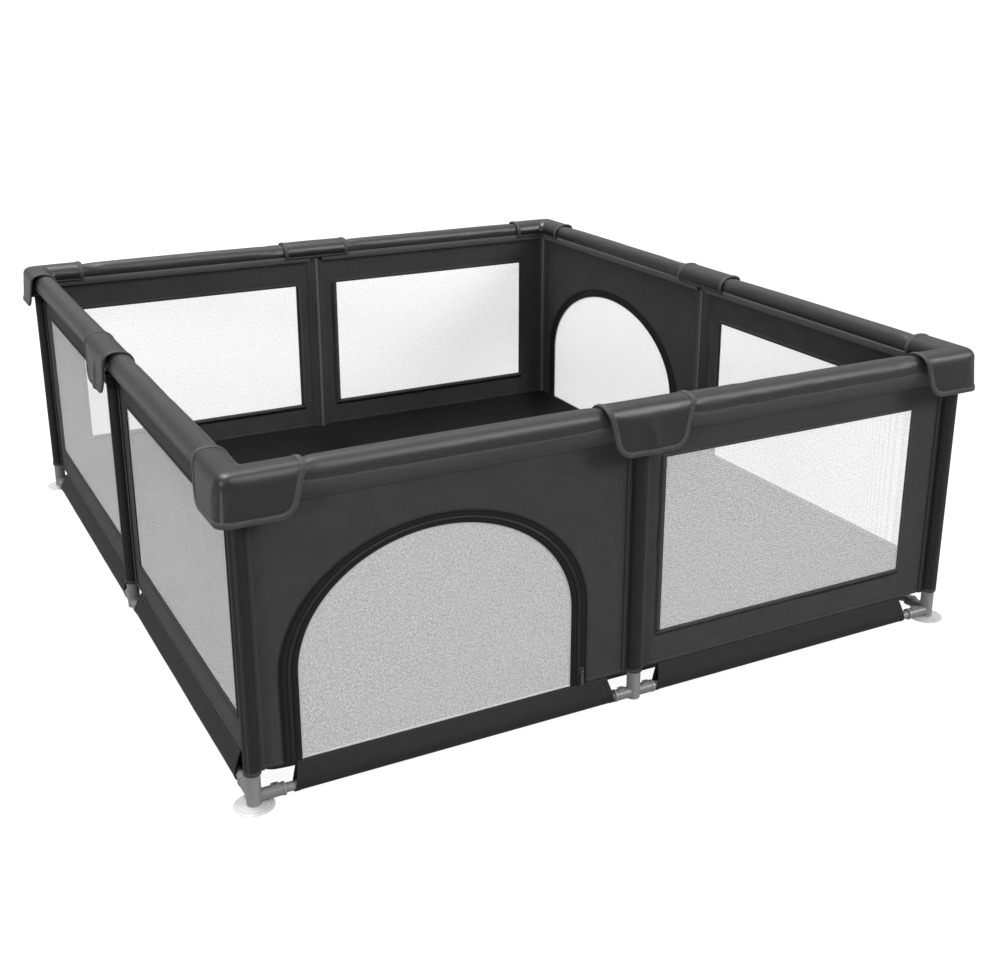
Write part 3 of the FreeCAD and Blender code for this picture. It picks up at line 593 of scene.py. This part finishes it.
def make_window_panel(wall, side, seed):
    """The cloth round one window, its hems and its net."""
    half = WALLS[wall][3]
    near, far = MARGINS[wall][0], half - MARGINS[wall][1]
    tag = half_name(wall, side)
    xs = ticks(POST_EDGE, near, far, half - POST_EDGE)
    zs = ticks(PANEL_LOW, WINDOW_LOW, WINDOW_HIGH, CLOTH_TOP)
    gx, gz = np.meshgrid(xs, zs, indexing="ij")
    outer = fade(gx, POST_EDGE, half - POST_EDGE) * fade(gz, PANEL_LOW, PANEL_HIGH)
    to_window = np.maximum(np.maximum(near - gx, gx - far), np.maximum(WINDOW_LOW - gz, gz - WINDOW_HIGH))
    wave = ripple(side * gx, gz * 1.3, seed, 0.0011) * outer * np.clip(to_window / 0.02, 0, 1)
    rows = stacked(side * gx, CLOTH + wave, gz)
    cloth = Piece("wall_cloth_" + tag, wall)
    i0, i1 = np.searchsorted(xs, (near - 1e-6, far - 1e-6))
    j0, j1 = np.searchsorted(zs, (WINDOW_LOW - 1e-6, WINDOW_HIGH - 1e-6))
    beside_window = slice(i0, i1 + 1)
    for part in (np.s_[:i0 + 1, :], np.s_[i1:, :], np.s_[beside_window, :j0 + 1], np.s_[beside_window, j1:]):
        cloth.patch(rows[part], flat=rows[part][..., ::2])
    cloth = cloth.build(PANEL_CLOTH, stands_for=["wall_fabric_" + wall])
    hems, thread = pieces(wall, tag, "window_hem_", "window_stitches_")
    window_frame_bars(hems, thread, side, near, far)
    hems = hems.build(BINDING)
    thread = thread.build(THREAD)
    tuck = 0.004  # the net reaches this far under the hems
    gx, gz = np.meshgrid(spaced(near - tuck, far + tuck, 0.02), spaced(WINDOW_LOW - tuck, WINDOW_HIGH + tuck, 0.02),
                         indexing="ij")
    belly = fade(gx, near, far, 0.25) * fade(gz, WINDOW_LOW, WINDOW_HIGH, 0.18)
    sag = 0.0012 * belly + ripple(side * gx, gz, seed + 9, 0.0009) * belly
    rows = stacked(side * gx, CLOTH + sag, gz)
    net = Piece("window_net_" + tag, wall).patch(rows, flat=rows[..., ::2])
    net = net.build(FINE_NET, "window_mesh", stands_for=["window_mesh_" + wall])


def make_panel_edges(wall):
    """Double-sewn hem along the foot of a wall's cloth."""
    half = WALLS[wall][3]
    hem, thread = pieces(wall, wall, "panel_hem_", "panel_stitches_")
    for side in (LEFT, RIGHT):
        marks = [POST_EDGE, half - POST_EDGE]
        if door_side(wall) == side:
            centre, half_width = DOORS[wall]
            reach = half_width + ZIP_BAND + 0.001
            marks[1:1] = [abs(centre) - reach, abs(centre) + reach]
        for a, b in zip(marks[::2], marks[1::2]):
            section = strip_section(CLOTH - 0.0019, CLOTH + 0.0019, PANEL_LOW + 0.0004, PANEL_LOW + 0.0085)
            hem.bar(along_wall(side * spaced(a, b, 0.03), section))
            for z in (PANEL_LOW + 0.0025, PANEL_LOW + 0.0068):
                for out in (OUTSIDE, INSIDE):
                    thread.seam((side * a, side * b), CLOTH + 0.002 * out[1], z, out)
    hem.build(PANEL_CLOTH)
    thread.build(THREAD)


# ---- sleeves of posts and bottom tubes

def make_post_cover(name, place, thread):
    """The strip of cloth that hides a post from inside the pen, with the tape down its middle."""
    heights = spaced(PANEL_LOW - 0.001, RAIL - 0.027, 0.02)
    if place in CORNERS:
        bend = mm((30, 9.4), (24, 10.4), (19, 12.8), (15.8, 15.8), (12.8, 19), (10.4, 24), (9.4, 30))
        facing = np.array([1.0, 1.0, 0.0]) / math.sqrt(2)
    else:
        bend = mm((-30, 9.4), (-22, 11.2), (-12, 16.2), (-6, 17.6), (0, 18), (6, 17.6), (12, 16.2),
                  (22, 11.2), (30, 9.4))
        facing = INSIDE
    cover = Piece("post_cover_" + name, place).patch(up_post(heights, bend)).build(PANEL_CLOTH)
    middle = bend[len(bend) // 2]
    side = np.array([-facing[1], facing[0]])

    def on_cover(a, b):
        """A section point a along the cover and b in front of it."""
        return middle + side * a + facing[:2] * b

    section = [on_cover(a, b) for a, b in mm((-4.5, 0.4), (-4, 1.2), (0, 1.6), (4, 1.2), (4.5, 0.4), (0, -0.2))]
    tape = Piece("post_tape_" + name, place).bar(up_post(heights, section)).build(LIGHT_BINDING)
    for a in (-0.0031, 0.0031):
        thread.seam(*on_cover(a, 0.0015), (heights[0], heights[-1]), facing)
    return [cover, tape]


def make_post_sleeve(place):
    """The cloth tube round a post, with its piping, its side flanges and hemmed ends."""
    corner = place in CORNERS
    name = place if corner else place + "_middle"
    low, high = PANEL_LOW + 0.004, RAIL - 0.044
    zs = spaced(low, high, 0.014)
    t = math.radians(45 if corner else 80) + np.linspace(0, 2 * np.pi, 45)
    seed = sum(map(ord, name)) % 17
    radius = POST_RADIUS + ripple(0.05 * np.cos(t[None]), zs[:, None] + 0.05 * np.sin(t[None]), seed, 0.00035)
    radius = radius + 0.0012 * np.exp(-((zs[:, None] - high) / 0.02) ** 2)
    rings = stacked(radius * np.cos(t), radius * np.sin(t), zs[:, None])
    if corner:  # flatter towards the pen's inside
        inwards = (rings[..., 0] + rings[..., 1]) / math.sqrt(2)
        rings[..., :2] -= (np.maximum(inwards - 0.0128, 0) * 0.6 / math.sqrt(2))[..., None]
    else:
        rings[..., 1] -= np.maximum(rings[..., 1] - 0.0115, 0) * 0.6
    sleeve = Piece("post_sleeve_" + name, place).patch(rings).build(SLEEVE_CLOTH)
    trim, flange, thread = pieces(place, name, "post_trim_", "post_flange_", "post_stitches_")
    for z0, z1 in ((low - 0.0004, low + 0.008), (high - 0.008, high + 0.0004)):
        cuff = ((0.0160, z0), (0.0176, z0), (0.0179, (z0 + z1) / 2), (0.0176, z1), (0.0160, z1))
        trim.patch(np.stack([stacked(r * np.cos(t), r * np.sin(t), z) for r, z in cuff]), wrap=True)
    piping = math.radians(-128 if corner else -62)
    trim.bar(up_post(zs, circle(0.0172 * math.cos(piping), 0.0172 * math.sin(piping), 0.0015, 0.0015)))
    for turn in (piping - 0.22, piping + 0.22):
        x, y = math.cos(turn), math.sin(turn)
        thread.seam(x * 0.0169, y * 0.0169, (low, high), (x, y, 0))
    # one flange along each wall: (sign of the direction, whether it lies along Y)
    for sign, turn_over in ((1, False), (1, True)) if corner else ((1, False), (-1, False)):
        order = slice(None, None, -1 if turn_over else 1)
        out = (*(0, -1)[order], 0)
        section = (strip_section(0.0150, 0.0270, 0.0042, 0.0066) * (sign, 1))[:, order]
        flange.bar(up_post(spaced(PANEL_LOW, high + 0.004, 0.03), section))
        for p in (0.0195, 0.0250):
            thread.seam(*(sign * p, 0.0041)[order], (low, high), out)
    trim = trim.build(BINDING)
    flange = flange.build(PANEL_CLOTH)
    cover_and_tape = make_post_cover(name, place, thread)
    thread = thread.build(THREAD)


def base_profile():
    """Outline of the pocket round a bottom tube, from the sewn top outside, round the tube, and back up."""
    outer = mm((5.2, 66.8), (1.2, 58), (-4.6, 45.5), (-9.2, 33.5), (-11.3, 26.5))
    turn = np.radians(np.linspace(160, 360, 16))
    round_part = stacked(0.0118 * np.cos(turn), BASE + 0.0118 * np.sin(turn))
    inner = mm((12, 31), (12, 43), (11.5, 55), (10.6, 62), (10, 66.8))
    return np.concatenate([outer, round_part, inner])


def make_base_sleeves(wall, seed):
    half = WALLS[wall][3]
    outline = base_profile()
    y, z = outline.T
    k = np.linspace(0, 1, int((half - 0.142) / 0.014))[:, None]
    slant = (z - 0.0072) / 0.0596  # 0 at the floor, 1 at the sewn top
    start, end = 0.054 + 0.014 * slant, half - 0.080 - 0.012 * slant
    x = start + (end - start) * k
    normal = unit(stacked(0.0, y, z - 0.030))
    for side in (LEFT, RIGHT):
        tag = half_name(wall, side)
        wave = ripple(side * x * 1.5, z * 3, seed + side, 0.0007)
        wave = wave * np.sin(np.pi * k) ** 0.3 * fade(z, 0.006, 0.066, 0.012)
        rows = stacked(side * x, y - np.abs(wave), z)
        sleeve = Piece("base_sleeve_" + tag, wall).patch(rows).build(SLEEVE_CLOTH)
        trim, thread = pieces(wall, tag, "base_trim_", "base_stitches_")
        for edge, inner in ((rows[0], rows[1]), (rows[-1], rows[-2])):
            trim.bar(edge_strip(edge, inner, normal, BOUND_EDGE * (0.9, 0.42)))
        xs = side * spaced(0.070, half - 0.094, 0.03)
        trim.bar(along_wall(xs, strip_section(0.0036, 0.0112, 0.0600, 0.0668)))
        for seam_z in (0.0617, 0.0652):
            thread.seam((xs[0], xs[-1]), 0.0035, seam_z, OUTSIDE)
        trim = trim.build(SLEEVE_CLOTH)
        thread = thread.build(THREAD)


# ---- doors and zips

def arch_outline(wall, grow):
    """Points (x, z) of a door's outline, grown by grow, from one foot over the top to the other."""
    half_width = DOORS[wall][1] + grow
    t = np.linspace(0, np.pi, 200)[1:-1]
    legs = np.linspace(PANEL_LOW, DOOR_SPRING, 40)
    x = np.concatenate([np.full(40, -half_width), -half_width * np.cos(t), np.full(40, half_width)])
    return stacked(x, np.concatenate([legs, arch_top(grow, t), legs[::-1]]))


def arch_top(grow, t):
    return DOOR_SPRING + (DOOR_HIGH - DOOR_SPRING + grow * CROWN_SHARE) * np.sin(t)


def arch_line(wall, grow, share):
    """Points (x, z) of the grown outline at the given shares of the zip's run."""
    run = cumulative(arch_outline(wall, ZIP_BAND))
    x, z = (np.interp(share * run[-1], run, column) for column in arch_outline(wall, grow).T)
    return stacked(DOORS[wall][0] + x, z)


def arch_band(wall, section, start=0.0):
    """Rings of a band round the arch.  A section point is (growth, depth y)."""
    share = np.linspace(start, 1 - start, 260)
    return np.stack([np.insert(arch_line(wall, grow, share), 1, depth, axis=1) for grow, depth in section], 1)


def arch_piece(name, wall, sections, material, start=0.0, **built):
    piece = Piece(name + wall, wall)
    for section in sections:
        piece.bar(arch_band(wall, section, start))
    return piece.build(material, "zip_tape", **built)


def arch_stitches(name, wall, lines, body="pen"):
    thread = Piece(name + wall, wall)
    for point in lines:
        thread.sew(arch_band(wall, [point])[:, 0], OUTSIDE)
    return thread.build(BINDING, "zip_tape", body)


def zip_teeth(name, wall, grow, start=0.0, body="pen"):
    """One row of zip teeth: a bead that swells at every tooth."""
    teeth = int(cumulative(arch_outline(wall, ZIP_BAND))[-1] / 0.0026)
    share = np.linspace(start, 1 - start, teeth * 4 + 1)
    swell = 0.55 + 0.45 * np.clip(np.cos(2 * np.pi * share * teeth) * 1.6, -1, 1)[:, None]
    line = arch_line(wall, grow, share)
    outward = unit(arch_line(wall, grow + 0.001, share) - line)[:, None]
    turn = full_turn(6)
    across = np.cos(turn) * (0.0011 + 0.0004 * swell)
    depth = ZIP_FACE - 0.0009 + np.sin(turn) * (0.0004 + 0.0006 * swell)
    x, z = np.moveaxis(line[:, None] + outward * across[..., None], -1, 0)
    return Piece(name + wall, wall).bar(stacked(x, depth, z)).build(COIL, "zip_tape", body)


def make_door_surround(wall, seed):
    """The wall cloth with its round-topped doorway, and the outer half of the zip sewn round it."""
    half = WALLS[wall][3]
    centre = DOORS[wall][0]
    side = door_side(wall)
    low, high = sorted((side * POST_EDGE, side * (half - POST_EDGE)))
    inner = arch_line(wall, ZIP_BAND + 0.0006, np.linspace(0, 1, 131))
    # the points of the cloth's outline straight out from the doorway, level beside its legs
    springs = np.array([centre, DOOR_SPRING])
    ray = inner - springs
    side_x = np.where(ray[:, 0] < 0, low, high)
    with np.errstate(divide="ignore"):
        reach = np.minimum((side_x - centre) / ray[:, 0], (CLOTH_TOP - DOOR_SPRING) / np.maximum(ray[:, 1], 1e-9))
    beside = stacked(side_x, inner[:, 1])
    outer = np.where(ray[:, 1:] <= 1e-6, beside, springs + ray * reach[:, None])
    steps = np.linspace(0, 1, 14)
    flat = inner[:, None] + (outer - inner)[:, None] * steps[:, None]
    x, z = flat[..., 0], flat[..., 1]
    clear = np.sin(np.pi * np.clip(steps * 1.05, 0, 1)) ** 0.7
    edges = fade(x, low, high) * fade(z, PANEL_LOW - 0.03, PANEL_HIGH)
    y = CLOTH + ripple(x, z * 1.3, seed, 0.0013) * clear * edges
    cloth = Piece("door_surround_cloth_" + wall, wall).patch(stacked(x, y, z), flat=flat)
    cloth = cloth.build(PANEL_CLOTH, stands_for=["door_surround_" + wall])
    tape = arch_piece("zip_tape_outer_", wall, [
        mm((19, 6.6), (19, 5.7), (21.5, 5.4), (29, 5.3), (34.5, 5.6), (35.2, 6.8)),
        mm((26.8, 5.3), (27.4, 4.6), (32.2, 4.4), (33.8, 5), (33.8, 5.6), (26.8, 5.6)),
        mm((19.2, 8.4), (19.2, 9.8), (21.5, 10.3), (33, 10.3), (35, 9.6), (35.2, 8.4)),
    ], ZIP_CLOTH, stands_for=["zip_tape_" + wall])
    piping = arch_piece("zip_piping_", wall, [circle(0.0362, 0.0052, 0.0016, 0.0013)], ZIP_CLOTH)
    thread = arch_stitches("zip_stitches_", wall, mm((28.2, 4.4), (39.8, 6.8)))
    teeth = zip_teeth("zip_coil_outer_", wall, 0.0200)


def make_door(wall, seed):
    """The door's net, its sewn border and the inner half of the zip; all of it drops with the door."""
    centre, half_width = DOORS[wall]
    body = "door_" + wall
    tuck = 0.004  # the net reaches this far under the border
    across = np.linspace(0, np.pi, 46)[:, None]
    k = np.linspace(0, 1, 30)
    gx = -(half_width + tuck) * np.cos(across)
    foot = PANEL_LOW + 0.001
    gz = foot + (arch_top(tuck, across) - foot) * k
    belly = np.sin(across) ** 1.2 * np.sin(np.pi * k) ** 1.2
    y = CLOTH + 0.0008 * belly + ripple(gx, gz, seed, 0.0010) * belly
    net = Piece("door_net_" + wall, wall).patch(stacked(centre + gx, y, gz), flat=stacked(gx, gz))
    net = net.build(DOOR_NET, "window_mesh", body, ["door_" + wall])
    border = arch_piece("door_border_", wall, [
        mm((0.2, 9.8), (0, 6.6), (2.2, 6), (6, 5.9), (12, 6), (17.2, 6.3), (17.8, 7.2), (17.8, 9.4),
           (15, 10.1), (3, 10.2))], ZIP_CLOTH, body=body)
    piping = arch_piece("door_piping_", wall, [mm((4.6, 6), (5, 4.9), (8.5, 4.5), (11.8, 4.9), (12.2, 6))],
                        ZIP_CLOTH, DOOR_TRIM_START, body=body)
    hem = Piece("door_net_hem_" + wall, wall)
    hem.bar(arch_band(wall, mm((-2.8, 7.8), (-2.6, 7), (-0.8, 6.8), (0.4, 7.2), (0.4, 9.4), (-2.8, 9.2))))
    for y0, y1 in mm((6.4, 7.8), (8.4, 9.8)):
        hem.bar(along_wall(centre + spaced(-half_width, half_width, 0.03),
                           strip_section(y0, y1, PANEL_LOW + 0.0008, PANEL_LOW + 0.0040)))
    hem = hem.build(HEM_CLOTH, "window_mesh", body)
    thread = arch_stitches("door_stitches_", wall, mm((3, 5.9), (14.6, 6)), body)
    teeth = zip_teeth("zip_coil_inner_", wall, 0.0166, DOOR_TRIM_START, body)


# ---- padded caps

def cap_profile(flap_low, reach):
    """(offset inwards, height) from the inner lower edge over to the flap's edge, and the reach of the
    cap along the rail at each of these points."""
    turn = np.radians(np.linspace(-42, 180, 26))
    power = np.where(turn > math.pi / 2, 0.66, 1.0)  # boxier on the outside
    across, up = (np.copysign(np.abs(value) ** power, value) for value in (np.cos(turn), np.sin(turn)))
    arc = stacked(-0.004 + 0.0352 * across, RAIL + 0.0302 * up)
    drop = np.linspace(0, 1, 15)[1:]
    flap = stacked(-0.0392 - 0.0062 * drop, RAIL - (RAIL - flap_low) * drop)
    points = np.concatenate([arc, flap])
    offset, z = points.T
    shoulder, corner = RAIL + 0.022, 0.030
    below = np.clip((shoulder - z) / (shoulder - flap_low), 0, 1)
    lift = np.clip(z - flap_low, 0, corner)
    rounding = corner - np.sqrt(corner ** 2 - (corner - lift) ** 2)
    length = reach - np.where(offset < -0.012, 0.026 * below ** 0.8 + rounding * 0.9, 0)
    return points, length


def corner_cap_rows():
    columns = []
    turn = np.linspace(0, np.pi / 2, 17)
    for (offset, z), reach in zip(*cap_profile(CORNER_FLAP, CORNER_REACH)):
        radius = max(0.014, -offset * 0.62)
        centre = offset + radius
        reach = max(reach, centre + 0.01)
        leg = centre + (reach - centre) * (1 - np.linspace(0, 1, 18)[:-1])
        bend = centre - radius * stacked(np.sin(turn), np.cos(turn))
        line = np.concatenate([stacked(leg, offset), bend, stacked(offset, leg[::-1])])
        columns.append(np.insert(line, 2, z, axis=1))
    return np.stack(columns, 1)


def middle_cap_rows():
    profile, length = cap_profile(MIDDLE_FLAP, MIDDLE_REACH)
    offset, z = profile.T
    x = np.linspace(-1, 1, 47)[:, None] * length
    flap = np.clip((RAIL - z) / 0.03, 0, 1) * (offset < 0)
    # the flap stands out a little over the post
    y = offset + flap * (0.0015 - 0.0040 * np.exp(-((x - 0.004) / 0.014) ** 2))
    return stacked(x, y, z)


def normals(rows):
    return unit(np.cross(np.gradient(rows, axis=0), np.gradient(rows, axis=1)))


def crease(rows, seed):
    """Small folds of a soft cap, dying out at its bound edges."""
    i, j = (np.sin(np.pi * np.linspace(0, 1, count)) ** 0.5 for count in rows.shape[:2])
    fold = ripple(rows[..., 0] * 2.4 + rows[..., 1] * 1.1, rows[..., 2] * 3.0 + rows[..., 1], seed, 0.0004)
    return rows + normals(rows) * (fold * i[:, None] * j)[..., None]


def rim_of(grid, inset=0):
    """The line along a cap's ends and flap edge, or as many points on the line inset places inwards."""
    n, m = grid.shape[:2]
    along = np.minimum(np.arange(m), m - 1 - inset)
    return np.concatenate([grid[inset, along], grid[1:-1, m - 1 - inset], grid[n - 1 - inset, along[::-1]]])


def finish_cap(name, place, shape, cap):
    """After the padding has swollen: thickness, bound edges and stitches."""
    n, m = shape
    inverse = np.linalg.inv(frame_of(place))
    local = (points_of(cap) @ inverse[:3, :3].T + inverse[:3, 3]).reshape(n, m, 3)
    normal = normals(local)
    normal = normal * (1 if normal[n // 2, m - 4] @ (-0.3, -1.0, 0.0) > 0 else -1)
    thicken(cap, 0.0024)
    trim, thread = pieces(place, name, "cap_binding_", "cap_stitches_")
    line, inward, out = rim_of(local), rim_of(local, 1), rim_of(normal)
    both = resampled(np.concatenate([line, line + unit(inward - line) * 0.01, out], 1), 0.004)
    for _ in range(3):
        both[1:-1, 3:] = (both[:-2, 3:] + both[1:-1, 3:] * 2 + both[2:, 3:]) / 4
    line, inward, out = both[:, :3], both[:, 3:6], both[:, 6:]
    rings = edge_strip(line, inward, out, BOUND_EDGE)
    trim.bar(rings)
    thread.sew(rings[:, 2] * 0.7 + rings[:, 1] * 0.3, unit(out))
    trim.bar(edge_strip(local[:, 0], local[:, 1], normal[:, 0], BOUND_EDGE))
    trim.build(CAP_BINDING, "cap_fabric")
    thread.build(THREAD, "cap_fabric")


def make_caps():
    jobs, caps = [], []
    for kind, places, rows_of, first_seed in (("corner", CORNERS, corner_cap_rows, 1),
                                              ("middle", WALLS, middle_cap_rows, 2)):
        for number, place in enumerate(places):
            rows = crease(rows_of(), number * 3 + first_seed)
            cap = Piece(f"{kind}_cap_pad_{place}", place).patch(rows)
            cap = cap.build(CAP_CLOTH, "cap_fabric", stands_for=[f"{kind}_cap_{place}"])
            shape = rows.shape[:2]
            index = np.arange(rows[..., 0].size).reshape(shape)
            rim = np.unique(np.concatenate([index[0], index[-1], index[:, 0], index[:, -1]]))
            jobs.append((cap, rim, 1.0, 0.0016, 0.0))
            caps.append((f"{kind}_{place}", place, shape, cap))
    return jobs, caps


# ---- floor mat and suction cups

def make_floor_mat():
    """The floor cloth: laid flat in the middle, and hanging from the hem of the walls all round."""
    edge, reach, hem, leg = 0.0112, 0.120, 0.0715, 0.0162
    near = mm(0, 3, 7, 13, 20, 28, 38, 50, 64, 80, 98, 118) + edge
    at_post = mm(-24, -15.5, -12, -6, 0, 6, 12, 15.5, 24)

    def stations(half):
        level = spaced(near[-1] - half, half - near[-1], 0.034)[1:-1]
        return np.sort(np.concatenate([near - half, level[np.abs(level) > 0.03], at_post, half - near]))

    def inset(distance, along):
        """Distance from the wall's line, moved in where the cloth goes round a middle post."""
        bulge = np.sqrt(np.maximum(leg ** 2 - along ** 2, 0)) - edge
        return distance + np.maximum(bulge, 0) * np.clip(1 - (distance - edge) / 0.03, 0, 1)

    x, y = np.meshgrid(stations(HALF_X), stations(HALF_Y), indexing="ij")
    from_side, from_end = HALF_X - np.abs(x), HALF_Y - np.abs(y)
    rise = [hem * np.clip(1 - (d - edge) / (reach - edge), 0, 1) ** 2.1 for d in (from_side, from_end)]
    height = np.maximum(*rise) + 0.25 * np.minimum(*rise) * (1 - np.maximum(*rise) / hem)
    loose = np.clip(np.minimum(from_side, from_end) / 0.05, 0, 1)
    fold = ripple(x, y, 4, 0.0012) + 0.5 * ripple(x * 2.1, y * 2.3, 9, 0.0010) * np.clip(height / 0.01, 0, 1)
    height = np.minimum(height + 0.0016 + np.abs(fold) * loose, hem)
    rows = stacked(np.sign(x) * (HALF_X - inset(from_side, y)), np.sign(y) * (HALF_Y - inset(from_end, x)), height)
    mat = Piece("floor_mat_cloth").patch(rows, flat=rows[..., :2])
    mat = mat.build(MAT_CLOTH, "mat_fabric", stands_for=["floor_mat"])
    rim = np.concatenate([rows[:-1, 0], rows[-1, :-1], rows[:0:-1, -1], rows[0, ::-1]])
    inward = np.concatenate([rows[:-1, 1], rows[-2, :-1], rows[:0:-1, -2], rows[1, ::-1]])
    thread = Piece("mat_stitches")
    thread.sew(rim * 0.2 + inward * 0.8 + (0, 0, 0.0003), (0, 0, 1.0))
    thread = thread.build(THREAD, "mat_fabric")


def make_suction_cup(corner):
    """A thin flared cup with a thick neck; the stud above it is hidden in the connector."""
    radius, z = mm(
        (0.1, 28.5), (4.5, 28.5), (5.8, 27.5), (5.8, 5.4), (11.2, 5.3), (12.1, 5), (12.7, 4.4), (17, 4),
        (18, 4.4), (19.2, 3.8), (25, 3.2), (26, 3.6), (27.2, 2.9), (33, 2.2), (34, 2.6), (35.2, 1.8),
        (39, 1.3), (40.1, 0.7), (39.7, 0.1), (38, 0), (36.2, 0.4), (30, 1.1), (22, 1.9), (12, 2.8), (0.1, 3)
    ).T[..., None]
    t = full_turn(72)
    wobble = 1 + 0.006 * np.sin(3 * t + len(corner))
    x, y = radius * np.cos(t) * wobble, radius * np.sin(t) * wobble
    cup = Piece("cup_" + corner, corner).patch(stacked(x, y, z), wrap=True)
    cup.build(VINYL, "suction_rubber", stands_for=["suction_cup_" + corner])


# ---- CAD nodes that stay, and all the pieces

for better_material, name_starts in (
        (STEEL, ("post_", "bottom_tubes", "top_tubes")),
        (PLASTIC, ("foot_connector_", "tee_connector_", "top_corner_connectors", "top_tee_connectors")),
        (BLACK_PLASTIC, ("snap_button_",)),
        (ENAMEL, ("zip_slider_", "zip_pull_"))):
    for node_name, node_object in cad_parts.items():
        if node_name.startswith(name_starts):
            node_object.data.materials.clear()
            node_object.data.materials.append(better_material)

rail_jobs = make_rail_covers()
make_rail_bindings()
cap_jobs, cap_pads = make_caps()
puff(rail_jobs + cap_jobs)
for cap_pad in cap_pads:
    finish_cap(*cap_pad)
for number, wall_name in enumerate(WALLS):
    for half_side in (LEFT, RIGHT):
        if door_side(wall_name) == half_side:
            make_door_surround(wall_name, number + 11)
            make_door(wall_name, number + 21)
        else:
            make_window_panel(wall_name, half_side, number * 2 + half_side + 5)
    make_panel_edges(wall_name)
    make_base_sleeves(wall_name, number + 31)
    make_post_sleeve(wall_name)
for corner_name in CORNERS:
    make_post_sleeve(corner_name)
    make_suction_cup(corner_name)
make_floor_mat()


# ---- floor, light and camera

def make_floor():
    """A wide pale floor, white to the camera but dim as a light, so that the cloth's faces stay dark."""
    mesh = bpy.data.meshes.new("studio_floor")
    size, level = 80.0, -0.0005
    mesh.from_pydata([(x, y, level) for x, y in ((-size, -size), (size, -size), (size, size), (-size, size))],
                     [], [(0, 1, 2, 3)])
    paint = new_material("studio_floor", (0.1, 0.1, 0.1), 0.9, specular=0.0)
    paint.join("Base Color", paint.mottled((0.1, 0.1, 0.1), 0.6, 0.004))
    paint.join("Emission Color", paint.mottled((1, 1, 1), 0.6, 0.002))
    paint.join("Emission Strength", paint.remap(paint.node("LightPath")["Is Camera Ray"], 0.30, 0.95))
    mesh.materials.append(paint.owner)
    new_object("studio_floor", mesh)


def make_world():
    """A white room, brighter overhead and dim towards the floor; to the camera it is white all round."""
    bpy.context.scene.world = bpy.data.worlds.new("studio")
    room = Shader(bpy.context.scene.world, "Background")
    room.surface["Color"].default_value = (1, 1, 1, 1)
    upwards = room.node("SeparateXYZ", {0: room.node("TexCoord")["Generated"]})["Z"]
    light = room.remap(upwards, 0.30, 1.15)
    room.join("Strength", room.remap(room.node("LightPath")["Is Camera Ray"], light, 1.05))


def soft_sun(name, direction, strength, spread):
    """A wide sun that shines along a direction; spread is its angle in degrees."""
    light = bpy.data.lights.new(name, "SUN")
    light.energy = strength
    light.angle = math.radians(spread)
    new_object(name, light).rotation_euler = Vector(direction).to_track_quat("-Z", "Y").to_euler()


make_floor()
make_world()
soft_sun("overhead", (0.10, -0.22, -1.0), 3.3, 24)
soft_sun("left", (0.85, 0.50, -0.15), 1.1, 12)
soft_sun("front_fill", (-0.60, 0.64, -0.48), 1.9, 25)

# the photo's camera, solved from the corners of the footprint
camera_data = bpy.data.cameras.new("camera")
camera_data.sensor_width = 36.0
camera_data.lens = 48.4
camera_data.shift_y = -0.05
camera = new_object("camera", camera_data)
camera.location = (-1.4711, -3.1307, 1.5044)
camera.rotation_euler = (math.radians(90 - 18.7125), 0, math.radians(-27.7472))
bpy.context.scene.camera = camera
bpy.context.scene.view_settings.view_transform = "Standard"
